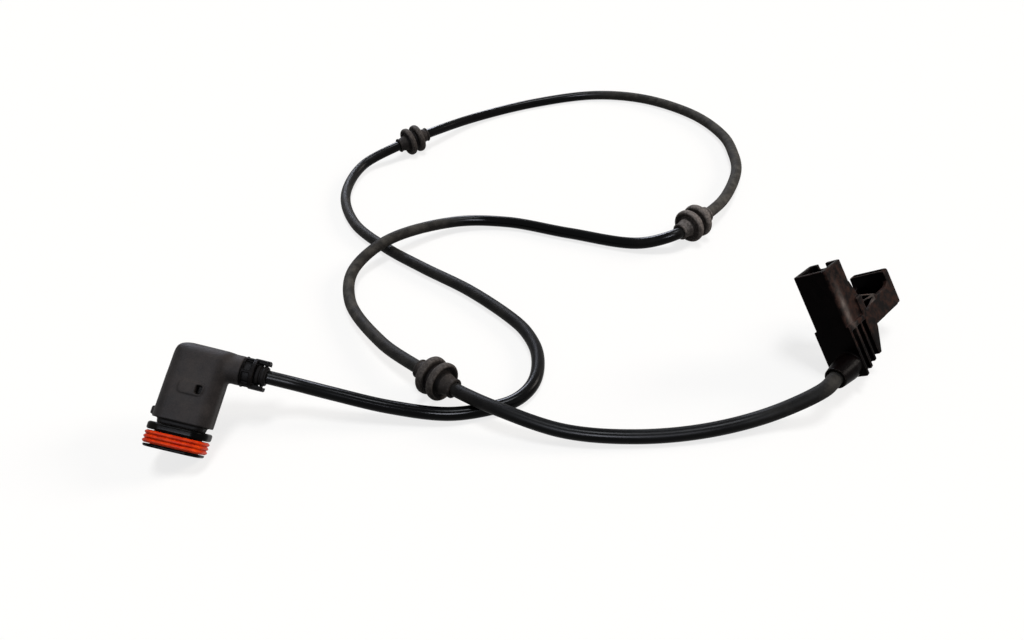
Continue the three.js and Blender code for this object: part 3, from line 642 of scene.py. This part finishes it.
@dataclass(frozen=True)
class TinPlate:
    """Tin plate on stamped brass: a pale grey metal with dull patches."""

    name: str = "tin_plate_stamped"
    tone: str = "#cfcdc6"
    second_tone: str = "#a9a69e"
    patch_mm: float = 1.2
    gloss: float = 0.22
    dull: float = 0.42

    def material(self) -> Material:
        """Builds the material.

        Returns:
            The material, whose patches read Object coordinates.
        """
        made = bpy.data.materials.new(self.name)
        tree = emptied(made)
        place = add(tree, "TexCoord", {}).outputs["Object"]
        patch = add(tree, "TexNoise", {"Vector": place, "Scale": per_mm(self.patch_mm),
                                       **TIN_NOISE}).outputs["Fac"]
        tone = add(tree, "Mix", {"data_type": "RGBA", 0: patch, 6: linear(self.tone),
                                 7: linear(self.second_tone)}).outputs[2]
        rough = add(tree, "MapRange", {0: patch, 3: self.gloss, 4: self.dull}).outputs[0]
        shader = add(tree, "BsdfPrincipled", {"Metallic": 1.0, "Base Color": tone, "Roughness": rough})
        add(tree, "OutputMaterial", {"Surface": shader.outputs["BSDF"]})
        return made


# Glass-filled polyamide off a spark-eroded tool: a matte dark grey with a fine grain and pale
# specks; its overlay tone is a near-black painted shade on the spout under the cap
ELBOW_POLYAMIDE = Finish(
    "polyamide_matte_moulded", "#0e0d0d", "#272322", 0.52, 0.66, specular=0.08, blotch_mm=5.0,
    grain_height_mm=0.06, dust="#45403d", dust_share=0.35, speckle=0.5, overlay_tone="#030303",
    overlay_share=0.95, overlay_least=0.9)
# Polyamide off a polished tool: black, with a clear gloss
POLISHED_POLYAMIDE = Finish(
    "polyamide_polished", "#020202", "#050505", 0.2, 0.3, specular=0.02, blotch_mm=4.0, grain_mm=0.8,
    grain_height_mm=0.004, dust_share=0.03)
# The clip on the cable gland: polyamide, nearly black, with a slight gloss
CAP_POLYAMIDE = Finish(
    "polyamide_cap", "#030202", "#070606", 0.4, 0.54, specular=0.022, grain_mm=0.35, dust="#262220",
    dust_share=0.35, dust_mm=3.0, overlay_tone="#3f3b39", overlay_share=0.45)
# Liquid silicone: a saturated orange, satin, with darker patches of wear
SEAL_SILICONE = Finish(
    "silicone_moulded", "#b22204", "#c93a08", 0.34, 0.48, ior=1.41, specular=0.1, blotch_mm=2.5,
    grain_height_mm=0.01, dust="#7a2006", dust_share=0.4, dust_mm=3.0)
# Polyurethane jacket: black, glossy where it is clean and dull where dust lies
CABLE_JACKET = ExtrudedJacket(
    "polyurethane_extruded", "#010102", "#030405", 0.1, 0.16, ior=1.5, specular=0.05, blotch_mm=25.0,
    grain_mm=0.6, grain_height_mm=0.003, dust="#484540", dust_share=0.95, dust_mm=5.0)
# Ethylene rubber: matte grey-brown, with dust on its rims, and painted shade in its folds, which are kept
# dark
GROMMET_RUBBER = Finish(
    "rubber_moulded_dusty", "#0b0908", "#1c1816", 0.62, 0.8, ior=1.5, specular=0.06, grain_mm=0.35,
    grain_height_mm=0.05, dust="#6f6863", dust_share=0.62, dust_mm=1.1, dust_least=0.45,
    dust_even=0.4, speckle=0.5, marked_cover=True)
# The same rubber where it is clean, inside the gland and the boss
CLEAN_RUBBER = Finish(
    "rubber_moulded_clean", "#060505", "#0c0a0a", 0.55, 0.7, ior=1.5, specular=0.05, grain_mm=0.3,
    grain_height_mm=0.03, dust="#24201e", dust_share=0.3, dust_mm=3.0)
# Polyamide of the head: nearly black with a satin gloss. The brown on faces that face up is dust that also
# paints the light on them; the pale edges are wear and painted rim highlights, and one side has a painted
# highlight
HEAD_POLYAMIDE = Finish(
    "polyamide_satin_moulded", "#020101", "#050303", 0.24, 0.4, specular=0.014, grain_mm=0.5,
    grain_height_mm=0.016, dust="#37251f", dust_share=0.78, dust_mm=2.4, dust_from=0.3, dust_full=0.62,
    dust_least=0.02, dust_even=0.05, overlay_tone="#8a7f78", overlay_share=0.5, overlay_least=0.35,
    marked_cover=True)
# Polyamide of the contact carrier: plain, even and dark
CARRIER_POLYAMIDE = Finish(
    "polyamide_carrier", "#101011", "#161617", 0.4, 0.55, specular=0.15, grain_height_mm=0.01)
# Tinned contacts: a pale metal
CONTACT_TIN = TinPlate()


def dress(piece: Object, finish: Material) -> Object:
    """Gives a piece its one finish.

    Args:
        piece: Piece to dress.
        finish: Material for the whole of it.

    Returns:
        The dressed piece.
    """
    piece.data.materials.clear()
    piece.data.materials.append(finish)
    log.info("%s: %s, %d faces", piece.name, finish.name, len(piece.data.polygons))
    return piece


# The object


@dataclass
class ElbowPlug:
    """The elbow plug, in its own axes: x along the arm, -y towards the mouth and z out of its face."""

    place: Placement = Placement((-109.7, 15.4, 23.1161), (0.9232, -0.1963, -0.3324), (0.153, -0.604, 0.782))
    width: float = 19.1
    depth: float = 12.8
    corner: float = 4.6
    neck_end: float = 22.7
    collar_end: float = 25.6
    collar_bevel: float = 0.5
    seal_start: float = 25.9
    seal_length: float = 4.1
    rim_start: float = 30.3
    rim_inset: float = 0.1
    bevel: float = 0.4
    mouth_end: float = 31.2
    spigot_inset: float = 2.2
    overhang: float = 0.45
    gap: float = 0.3
    rib_count: int = 3
    rib_height: float = 0.55
    rib_steps: int = 14
    cap_start: float = 14.0
    cap_end: float = 18.2
    window_count: int = 6
    window_width: float = 4.1
    window_length: float = 2.5
    window_margin: float = 0.4
    window_height: Span = (4.3, 7.0)
    gland_end: float = 22.0
    rounding: float = 0.25
    slot_box: Box = ((2.3, 4.3), (-11.35, -8.45), (4.0, 8.0))

    # The elbow's round is relaxed above the mark on its face and before its arm
    mark_top: float = -7.2
    mark_fade: float = 2.5
    round_end: float = 12.0
    round_fade: float = 2.0
    relax_rounds: int = 60

    # Painted shade turns the spout near black from this far before the cap, over this distance
    shade_before_cap: float = 0.4
    shade_fade: float = 0.3

    def ring(self, name: str, profile: list[Span]) -> Object:
        """Sweeps a closed profile round the mouth.

        Args:
            name: Name of the piece.
            profile: Offset outwards and height along the mouth of each corner.

        Returns:
            The ring.
        """
        shape = softened(np.array([*profile, profile[0]]), self.rounding)[:-1]
        grid = oval_swept(self.width, self.depth, self.corner, shape)
        return surface(name, self.place.to_row(grid), crease_degrees=50, ring=True)

    def collar(self) -> Object:
        """Builds the glossy collar between the neck and the seal.

        Returns:
            The collar.
        """
        inner, out, bevel = self.gap - self.spigot_inset, self.overhang, self.collar_bevel
        low, high = self.neck_end + self.gap, self.collar_end
        return self.ring("collar", [(inner, low), (out - bevel, low), (out, low + bevel),
                                    (out, high - bevel), (out - self.bevel, high), (inner, high)])

    def seal(self) -> Object:
        """Builds the orange mouth seal, whose ribs are a raised cosine along the mouth.

        Returns:
            The seal.
        """
        inner, valley = self.gap - self.spigot_inset, self.overhang - self.rib_height
        along = np.linspace(0, self.seal_length, self.rib_count * self.rib_steps + 1)
        wave = 0.5 - 0.5 * np.cos(2 * np.pi * along * self.rib_count / self.seal_length)
        rise = valley + self.rib_height * wave**0.6
        outer = np.stack([rise, self.seal_start + along], axis=1)
        ends = np.array([[inner, self.seal_start + self.seal_length], [inner, self.seal_start]])
        grid = oval_swept(self.width, self.depth, self.corner, np.concatenate([outer, ends]))
        return surface("seal", self.place.to_row(grid), crease_degrees=50, ring=True)

    def rim(self) -> Object:
        """Builds the black rim that closes the mouth.

        Returns:
            The rim.
        """
        inner, out, bevel = self.gap - self.spigot_inset, -self.rim_inset, self.bevel
        start, end = self.rim_start, self.mouth_end
        return self.ring("rim", [(inner, start), (out, start), (out, end - bevel), (out - bevel, end),
                                 (inner, end)])

    def gland(self) -> Object:
        """Builds the rubber seal in the cable gland, turned about the arm, with its two rings.

        Returns:
            The gland seal.
        """
        stem, ring, small_ring, neck = 3.1, 3.8, 3.6, 3.2
        base, first = self.cap_end - 1.0, self.cap_end + self.gap
        corners = np.array([(0, base), (stem, base), (stem, first), (ring, first), (ring, first + 1.1),
                            (neck, first + 1.2), (neck, first + 1.7), (small_ring, first + 1.9),
                            (small_ring, first + 2.8), (neck, first + 3), (neck, self.gland_end),
                            (0, self.gland_end)])
        shape = softened(corners, self.rounding)
        grid = turned(shape, np.array(self.place.origin), self.place.axes()[0])
        return surface("gland_seal", grid, crease_degrees=45)

    def pad_slot(self) -> Solid:
        """Gives the cutter that sinks the slot at the end of the face's pad."""
        return block(*self.slot_box)

    def cap_windows(self) -> tuple[Solid, ...]:
        """Gives the cutters that open the cap's windows to their full width, evenly round the cap.

        Returns:
            The cutters, along the plug's axes.
        """
        low, half = self.cap_start + self.window_margin, self.window_width / 2
        window = block((low, low + self.window_length), (-half, half), self.window_height)
        step = 360 / self.window_count
        return tuple(rolled(window, step * (k + 0.5)) for k in range(self.window_count))

    def shoulder(self, places: Array) -> Array:
        """Says how much the elbow is relaxed: fully above its mark, and not below it or on the arm."""
        above = faded(places[:, 1], self.mark_top, self.mark_fade)
        return above * faded(places[:, 0], self.round_end, -self.round_fade)

    def shade_under_cap(self, places: Array) -> Array:
        """Says which points lie on the spout under the cap, where a near-black shade is painted."""
        return faded(places[:, 0], self.cap_start - self.shade_before_cap, self.shade_fade)

    def build(self) -> None:
        """Builds and dresses the plug."""
        body = Moulding("elbow_housing", "elbow", self.place, Fineness.PLUG, rounds=5,
                        cutters=(self.pad_slot(),), edge_wear=0)
        # The overlay paints a near-black shade on the spout under the cap
        housing = body.build(self.shoulder, self.relax_rounds, self.shade_under_cap)
        dress(housing, ELBOW_POLYAMIDE.material())
        cap = Moulding("cable_gland_cap", "gland_cap", self.place, Fineness.SMALL_CAP, rounds=2,
                       cutters=self.cap_windows())
        dress(cap.build(), CAP_POLYAMIDE.material())
        gloss = POLISHED_POLYAMIDE.material()
        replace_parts(dress(self.collar(), gloss), "mouth_collar")
        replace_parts(dress(self.rim(), gloss), "mouth_rim")
        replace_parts(dress(self.seal(), SEAL_SILICONE.material()), "mouth_seal")
        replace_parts(dress(self.gland(), CLEAN_RUBBER.material()), "cable_gland_seal")
        dress(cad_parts["contact_carrier"], CARRIER_POLYAMIDE.material())
        tin = CONTACT_TIN.material()
        for side in ("left", "right"):
            dress(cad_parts["contact_socket_" + side], tin)


@dataclass
class SensorHead:
    """The sensor head, in its own axes: x to the right, y towards the back plate and z up the shroud."""

    place: Placement = Placement((107.65, -11.95, 3.236), (0.575, -0.554, 0.6), (-0.295, 0.544, 0.785))
    front: float = -5.7
    boss_length: float = 10.2
    boss_offset: float = 1.4
    boss_height: float = 4.6
    boss_cover: float = 0.7
    bore: float = 2.95
    bore_depth: float = 7.0
    seal_recess: float = 1.0
    gap: float = 0.3
    rounding: float = 0.1

    # The bracket's hollows: the tray, the slot in the plate and half the width of the windows' cutters
    tray_box: Box = ((-5.45, 5.45), (7.6, 16.5), (17.6, 24.5))
    slot_box: Box = ((-5.3, 5.3), (26.35, 28.25), (18.0, 25.5))
    truss_reach: float = 7.0

    # The painted highlight on the right side, a pale streak: its middle and its size in y and in z
    right_side: float = 5.0
    streak_middle: Span = (-2.3, 22.6)
    streak_size: Span = (1.3, 6.4)

    # The truss ribs, painted pale as a highlight: how much, from how far off the middle, and where in y and
    # in z
    truss_highlight: float = 0.45
    truss_from: float = 4.6
    truss_y: Span = (8.0, 14.8)
    truss_z: Span = (18.2, 23.0)

    # The shroud's well, kept nearly black as painted shade, as half its width and depth and its floor
    well_half_x: float = 5.4
    well_half_y: float = 4.9
    well_floor: float = 11.0

    # The brown starts at this height on the foot and is full this much higher, so the foot stays darker
    dust_start: float = 8.5
    dust_fade: float = 4.0
    least_dust: float = 0.05

    def boss_end(self) -> Array:
        """Gives the point where the cable leaves the boss, in the row frame."""
        end = self.front - self.boss_length + self.boss_cover
        return self.place.to_row(np.array([self.boss_offset, end, self.boss_height]))

    def boss_seal(self) -> Object:
        """Builds the rubber seal in the boss: a plain plug, turned about the bore.

        Returns:
            The seal.
        """
        radius, deep = self.bore - self.gap, self.boss_length - self.bore_depth + self.gap
        face = self.boss_length - self.seal_recess
        corners = np.array([(0, deep), (radius, deep), (radius, face), (radius * 0.5, face), (0, face)])
        base = self.place.to_row(np.array([self.boss_offset, self.front, self.boss_height]))
        grid = turned(softened(corners, self.rounding), base, -self.place.axes()[1])
        return surface("boss_seal", grid, crease_degrees=45)

    def hollows(self) -> tuple[Solid, ...]:
        """Gives the cutters of the bracket: thin truss walls, their windows and the slot in the plate.

        Returns:
            The cutters, along the head's axes.
        """
        upper = np.array([(7.8, 22.35), (7.8, 21.2), (14.2, 20.05), (14.2, 20.15)])
        lower = np.array([(7.8, 20.6), (7.8, 17.7), (10.0, 18.1), (14.0, 19.4), (14.0, 19.55)])
        windows = [carried(outline, -self.truss_reach, self.truss_reach) for outline in (upper, lower)]
        return block(*self.tray_box), *windows, block(*self.slot_box)

    def painted_highlights(self, places: Array) -> Array:
        """Says how much pale highlight is painted: a bell in y and in z on the shroud's right side, and the
        truss evenly.

        Args:
            places: Points along the head's axes.

        Returns:
            A share from 0 to 1 for each point.
        """
        x, y, z = places.T
        away = (places[:, 1:] - self.streak_middle) / self.streak_size
        side = np.where(x > self.right_side, np.exp(-(away**2).sum(axis=1)), 0)
        truss = (np.abs(x) > self.truss_from) & within(y, self.truss_y) & within(z, self.truss_z)
        return np.maximum(side, self.truss_highlight * truss)

    def browned(self, places: Array) -> Array:
        """Says where the brown may lie: on the shroud and bracket; hardly in the shroud's well, which is
        painted shade, and less low on the foot.

        Args:
            places: Points along the head's axes.

        Returns:
            A share from 0 to 1 for each point.
        """
        x, y, z = places.T
        well = (np.abs(x) < self.well_half_x) & (np.abs(y) < self.well_half_y) & (z > self.well_floor)
        return np.where(well, self.least_dust, faded(z, self.dust_start, self.dust_fade, self.least_dust))

    def build(self) -> None:
        """Builds and dresses the head."""
        body = Moulding("head_housing", "head", self.place, Fineness.HEAD, rounds=2, cutters=self.hollows())
        # The overlay paints highlights: a pale streak on the right side and the truss ribs, and on worn
        # edges the rims' highlights
        housing = body.build(overlaid=self.painted_highlights, dust_and_shade=self.browned)
        dress(housing, HEAD_POLYAMIDE.material())
        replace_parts(dress(self.boss_seal(), CLEAN_RUBBER.material()), "head_cable_seal")
        tin = CONTACT_TIN.material()
        for side in ("left", "right"):
            dress(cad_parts["head_contact_" + side], tin)


@dataclass
class Grommet:
    """One rubber grommet on the cable: two flanges with a groove between them, on a lipped hub."""

    node: str
    centre: Row
    along: Row
    flange: float = 7.0
    length: float = 17.4
    flange_width: float = 2.95
    groove_width: float = 2.2
    groove_depth: float = 2.7
    bore: float = 2.7
    lip_wall: float = 0.8
    lead: float = 10.5
    dusty: float = 0.85
    # The folds take little dust, so their dark is painted shade
    fold_share: float = 0.0
    hub_share: float = 0.4
    hub_margin: float = 0.4
    fold_radius: float = 5.3
    fold_fade: float = 1.0
    rounding: float = 0.35

    def heading(self) -> Array:
        """Gives the cable's direction through the grommet."""
        return np.array(self.along) / np.linalg.norm(self.along)

    def through(self) -> Array:
        """Gives five points of the cable on its way straight through, in millimetres."""
        return np.array(self.centre) + np.linspace(-self.lead, self.lead, 5)[:, None] * self.heading()

    def profile(self) -> Array:
        """Draws one half from the end of the hub to the middle of the groove, and mirrors it.

        Returns:
            Radius and height of each point, closed through the bore.
        """
        rim, lip, end, inner = self.flange, self.bore + self.lip_wall, self.length / 2, self.groove_width / 2
        face = inner + self.flange_width
        half = np.array([
            (self.bore, end), (lip - 0.2, end), (lip + 0.05, end - 0.2), (lip + 0.05, end - 0.7),
            (lip - 0.3, end - 1.0), (lip - 0.2, end - 1.8), (lip + 0.15, face + 1.4),
            (lip + 0.4, face + 0.2), (lip + 0.6, face - 0.9), (lip + 1.0, face - 1.35),
            (lip + 1.5, face - 1.25), (rim - 1.5, face - 0.6), (rim - 0.95, face - 0.05),
            (rim - 0.4, face - 0.1), (rim, face - 0.8), (rim, face - 1.7), (rim - 0.2, inner + 0.45),
            (rim - 0.6, inner + 0.05), (rim - 1.2, inner), (rim - self.groove_depth, inner)])
        whole = np.concatenate([half, half[::-1] * [1, -1]])
        return softened(np.concatenate([whole, whole[:1]]), self.rounding)

    def dust_and_shade(self, places: Array) -> Array:
        """Says how much dust the rubber takes: most on its rims, less on its hubs and least in its folds,
        which paints shade there.

        Args:
            places: Points in the row frame, in millimetres.

        Returns:
            The share for each point.
        """
        away = places - np.array(self.centre)
        height = away @ self.heading()
        radius = np.linalg.norm(away - height[:, None] * self.heading(), axis=1)
        hub = np.abs(height) > self.groove_width / 2 + self.flange_width + self.hub_margin
        rims = faded(radius, self.fold_radius, self.fold_fade, self.fold_share)
        return self.dusty * np.where(hub, self.hub_share + self.fold_share, rims)

    def build(self, rubber: Material) -> Object:
        """Turns the grommet about the cable and dresses it.

        Args:
            rubber: Its material.

        Returns:
            The piece.
        """
        grid = turned(self.profile(), np.array(self.centre), np.array(self.along), sides=96)
        piece = surface(self.node + "_rubber", grid, crease_degrees=60)
        mark(piece.data, "dust_and_shade", self.dust_and_shade(vertices(piece.data) / MM))
        dress(piece, rubber)
        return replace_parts(piece, self.node)


@dataclass
class Cable:
    """The cable: one smooth line from the plug's gland through the grommets into the head's boss."""

    plug: ElbowPlug
    grommets: list[Grommet]
    head: SensorHead
    diameter: float = 4.8
    lead: float = 9.0
    step: float = 1.5
    sides: int = 32
    samples: int = 80

    # Distance from the plug in millimetres, how dusty the jacket is there and how dull
    worn: tuple[Row, ...] = (
        (0, 0.06, 0.25), (30, 0.0, 0.05), (50, 0.0, 0.0), (75, 0.0, 0.0), (100, 0.06, 0.3),
        (130, 0.15, 0.75), (215, 0.2, 0.85), (260, 0.35, 0.85), (295, 0.1, 0.3), (320, 0.03, 0.0),
        (430, 0.05, 0.0), (450, 0.5, 0.6), (485, 0.85, 1.0), (560, 0.85, 1.0), (605, 1.0, 1.0),
        (626, 0.15, 0.1), (650, 0.0, 0.0), (720, 0.0, 0.0), (738, 0.4, 0.6), (765, 0.68, 1.0),
        (800, 0.68, 1.0), (845, 0.3, 0.9), (885, 0.08, 0.8), (910, 0.03, 0.5), (930, 0.0, 0.15),
        (950, 0.03, 0.4), (973, 0.05, 0.2), (988, 0.2, 0.8), (1012, 0.35, 0.9))

    # Points of the route on the table, in millimetres, between the plug, the grommets and the head
    to_rear: tuple[Row, ...] = (
        (-68.3, 4.9, 10), (-48.6, -1.3, 5.7), (-28.7, -5.9, 3.2), (-13.3, -5.1, 2.5), (-6.4, -3.3, 2.5),
        (-0.9, 1.2, 2.5), (2.4, 7.7, 2.5), (3.7, 18.9, 2.5), (1.1, 30.1, 2.5), (-3.3, 38.6, 2.5),
        (-18.8, 59.6, 2.5), (-37.6, 79.4, 2.5), (-55, 99.1, 2.5), (-70.4, 122.7, 2.5), (-76.5, 151.2, 2.6),
        (-68.6, 174.5, 4.2))
    to_side: tuple[Row, ...] = (
        (-7.4, 212.5, 3.5), (26.6, 222.1, 2.5), (60.5, 221.4, 2.5), (85.6, 208.4, 2.5), (106.3, 181.8, 2.5),
        (114.1, 155.2, 2.5), (113.2, 136.3, 2.7), (109.3, 119.9, 3.3), (96, 95.6, 5.4))
    to_front: tuple[Row, ...] = (
        (53.8, 74.4, 3.4), (26.2, 90.1, 2.5), (0.2, 105, 2.8), (-23.5, 108.6, 4.4), (-52.4, 96, 8),
        (-67, 82, 5.2), (-67.8, 63.2, 3.6), (-53.2, 32.7, 5.4))
    to_head: tuple[Row, ...] = (
        (-12.6, -10.8, 8), (7.6, -21, 4.4), (29.3, -25.9, 2.6), (51.4, -27.8, 2.9), (72.5, -26.8, 5.2))

    def route(self) -> Array:
        """Puts the route's points in order, with straight leads at both ends.

        Returns:
            The points in the row frame, in millimetres.
        """
        arm, inwards = self.plug.place.axes()[0], self.head.place.axes()[1]
        start = np.array(self.plug.place.origin) + arm * (self.plug.gland_end + self.plug.gap)
        end = self.head.boss_end()
        rear, side, front = (grommet.through() for grommet in self.grommets)
        parts = [[start, start + arm * self.lead], self.to_rear, rear, self.to_side, side,
                 self.to_front, front, self.to_head, [end - inwards * self.lead, end]]
        return np.concatenate([np.array(part, float) for part in parts])

    def centreline(self, points: Array) -> Array:
        """Draws the smooth line through the route's points, in even steps.

        Between two points the line is the cubic of the centripetal Catmull-Rom curve, whose time
        between points is the square root of their distance.

        Args:
            points: The route's points.

        Returns:
            Points on the line, each a step from the last.
        """
        ends = np.concatenate([2 * points[:1] - points[1:2], points, 2 * points[-1:] - points[-2:-1]])
        a, b, c, d = ends[:-3], ends[1:-2], ends[2:-1], ends[3:]
        legs = ((a, b), (b, c), (c, d))
        before, here, after = (np.sqrt(np.linalg.norm(q - p, axis=1))[:, None] for p, q in legs)
        leaving = ((b - a) / before - (c - a) / (before + here) + (c - b) / here) * here
        arriving = ((c - b) / here - (d - b) / (here + after) + (d - c) / after) * here
        t = np.linspace(0, 1, self.samples, endpoint=False)[None, :, None]
        square, cube = 3 * (c - b) - 2 * leaving - arriving, 2 * (b - c) + leaving + arriving
        line = b[:, None] + leaving[:, None] * t + square[:, None] * t**2 + cube[:, None] * t**3
        line = np.concatenate([line.reshape(-1, 3), points[-1:]])
        run = np.concatenate([[0], np.cumsum(np.linalg.norm(np.diff(line, axis=0), axis=1))])
        even = np.linspace(0, run[-1], int(run[-1] / self.step) + 1)
        return np.stack([np.interp(even, run, line[:, k]) for k in range(3)], axis=1)

    def tube(self, line: Array) -> Object:
        """Carries a circle along the line, with a map that runs along the cable and round it.

        Each ring is point + radius * (cos(a) * across + sin(a) * upright), where across is level and
        both stand square to the line, so the map's seam lies underneath.

        Args:
            line: The centreline.

        Returns:
            The cable, closed at both ends.
        """
        heading = np.gradient(line, axis=0)
        heading /= np.linalg.norm(heading, axis=1)[:, None]
        across = np.cross(heading, [0.0, 0.0, 1.0])
        across /= np.linalg.norm(across, axis=1)[:, None]
        upright = np.cross(across, heading)
        angle = -np.pi / 2 + np.linspace(0, 2 * np.pi, self.sides, endpoint=False)[None, :, None]
        ring = np.cos(angle) * across[:, None] + np.sin(angle) * upright[:, None]
        grid = line[:, None] + ring * self.diameter / 2
        closed = [np.broadcast_to(line[k], (1, self.sides, 3)) for k in (0, -1)]
        piece = surface("cable", np.concatenate([closed[0], grid, closed[1]]), crease_degrees=60)
        self.map_along(piece.data, line)
        return piece

    def map_along(self, mesh: Mesh, line: Array) -> None:
        """Writes the map and the marks: u is the distance to the ring and v the way round, both in metres.

        Args:
            mesh: Mesh of the cable, whose first vertex is the pole and whose rings follow in order.
            line: The centreline.
        """
        after_pole = np.arange(len(mesh.vertices)) - 1
        distance = np.clip(after_pole // self.sides, 0, len(line) - 1) * self.step
        turn = after_pole % self.sides / self.sides
        loops = np.empty(len(mesh.loops), np.int32)
        mesh.loops.foreach_get("vertex_index", loops)
        way = np.stack([distance * MM, turn * np.pi * self.diameter * MM], axis=1)
        mesh.uv_layers.new(name="along").data.foreach_set("uv", way[loops].ravel())
        stops, dust, dull = np.array(self.worn).T
        mark(mesh, "dust", np.interp(distance, stops, dust))
        mark(mesh, "dull", np.interp(distance, stops, dull))

    def build(self, on_it: list[Object]) -> None:
        """Args:
            on_it: The pieces on the cable; not used.
        """
        line = self.centreline(self.route())
        piece = self.tube(line)
        dress(piece, CABLE_JACKET.material())
        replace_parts(piece, "cable_sheath")


# The setting

WHITE = (1.0, 1.0, 1.0, 1.0)


@dataclass(frozen=True)
class Lamp:
    """A soft lamp far away: the way to it, its strength, its width in degrees and its tint."""

    name: str
    towards: Row
    strength: float
    width: float
    tint: str
    only_gloss: bool = False

    def hang(self) -> None:
        """Adds the lamp, which shines against the way to it, or is only mirrored in what is glossy."""
        light = bpy.data.lights.new(self.name, "SUN")
        light.energy = self.strength
        light.color = linear(self.tint)[:3]
        light.angle = np.radians(self.width)
        holder = placed(self.name, light)
        holder.rotation_euler = Vector(self.towards).to_track_quat("Z", "Y").to_euler()
        holder.visible_diffuse = not self.only_gloss


def background(tree: Tree) -> Socket:
    """Gives 1 to the rays that show the background: the camera's own and those off gloss or glass."""
    paths = add(tree, "LightPath", {}).outputs
    either = add(tree, "Math", {"operation": "MAXIMUM", 0: paths["Is Camera Ray"],
                                1: paths["Is Glossy Ray"]}).outputs[0]
    return add(tree, "Math", {"operation": "MAXIMUM", 0: either,
                              1: paths["Is Transmission Ray"]}).outputs[0]


@dataclass(frozen=True)
class Studio:
    """A white table under a lamp overhead and one on the right, and two windows that only gloss mirrors."""

    eye: Row = (-3.6, -175.37, 188.17)
    right: Row = (0.99027, -0.09131, -0.10504)
    upward: Row = (0.13917, 0.64967, 0.74736)
    ahead: Row = (0.0, 0.75471, -0.65606)
    lens: float = 26.016
    film_width: float = 36.0
    nearest: float = 0.01
    table_size: float = 12.0
    table_tone: str = "#b4b4b4"
    paper_tone: str = "#f6f2ea"
    paper_share: float = 0.78
    sky: float = 0.22

    def lamps(self) -> tuple[Lamp, ...]:
        """Names the lamps: the way to each, its strength, how wide it looks in degrees and its tint."""
        return (Lamp("overhead", (0.12, 0.1, 1.0), 2.2, 18, "#f4f8ff"),
                Lamp("from_the_right", (0.9, 0.12, 0.42), 2.1, 20, "#fff6ee"),
                Lamp("window_behind", (-0.1, 0.9, 0.44), 4.3, 19, "#dde2f2", only_gloss=True),
                Lamp("window_in_front", (-0.1, -0.66, 0.74), 3.9, 18, "#eceffb", only_gloss=True))

    def camera(self) -> None:
        """Sets the camera at the photograph's viewpoint."""
        shot = bpy.data.cameras.new("view")
        shot.sensor_width = self.film_width
        shot.lens = self.lens
        shot.clip_start = self.nearest
        holder = placed("view", shot)
        turn = np.eye(4)
        turn[:3, :3] = np.stack([self.right, self.upward, -np.array(self.ahead)], axis=1)
        turn[:3, 3] = np.array(self.eye) * MM
        holder.matrix_world = Matrix(turn.tolist())
        bpy.context.scene.camera = holder

    def table(self) -> None:
        """Lays the white table, which the camera sees lifted to paper white with the shadows kept."""
        half = self.table_size / 2
        corners = [(-half, -half, 0), (half, -half, 0), (half, half, 0), (-half, half, 0)]
        mesh = bpy.data.meshes.new("table")
        mesh.from_pydata(corners, [], [(0, 1, 2, 3)])
        top = placed("table", mesh)
        paper = bpy.data.materials.new("white_table")
        tree = emptied(paper)
        seen = background(tree)
        tone = add(tree, "Mix", {"data_type": "RGBA", 0: seen, 6: linear(self.table_tone),
                                 7: linear(self.paper_tone)}).outputs[2]
        matte = add(tree, "BsdfDiffuse", {"Color": tone}).outputs[0]
        glow = add(tree, "Emission", {"Color": WHITE, "Strength": 1.0}).outputs[0]
        share = add(tree, "Math", {"operation": "MULTIPLY", 0: seen, 1: self.paper_share}).outputs[0]
        both = add(tree, "MixShader", {0: share, 1: matte, 2: glow}).outputs[0]
        add(tree, "OutputMaterial", {"Surface": both})
        mesh.materials.append(paper)

    def light(self) -> None:
        """Hangs the lamps and sets the even light of the room, which is white where it is seen."""
        for lamp in self.lamps():
            lamp.hang()
        room = bpy.data.worlds.new("room")
        tree = emptied(room)
        level = add(tree, "MapRange", {0: background(tree), 3: self.sky, 4: 1.0}).outputs[0]
        sky = add(tree, "Background", {"Color": WHITE, "Strength": level}).outputs[0]
        add(tree, "OutputWorld", {"Surface": sky})
        bpy.context.scene.world = room
        bpy.context.scene.view_settings.view_transform = "Standard"


def main() -> None:
    """Builds the setting and the object."""
    logging.basicConfig(level=logging.INFO, format="%(name)s: %(message)s")
    studio = Studio()
    studio.camera()
    studio.table()
    studio.light()
    plug, head = ElbowPlug(), SensorHead()
    grommets = [
        Grommet("grommet_rear", (-42.4, 188.8, 7), (0.86, 0.51, 0)),
        Grommet("grommet_side", (77.3, 78.2, 7), (-0.817, -0.577, 0), dusty=2.3, fold_share=0.45),
        Grommet("grommet_front", (-32.3, 7.7, 7.2), (0.694, -0.72, 0)),
    ]
    rubber = GROMMET_RUBBER.material()
    Cable(plug, grommets, head).build([grommet.build(rubber) for grommet in grommets])
    plug.build()
    head.build()


if __name__ == "__main__":
    main()
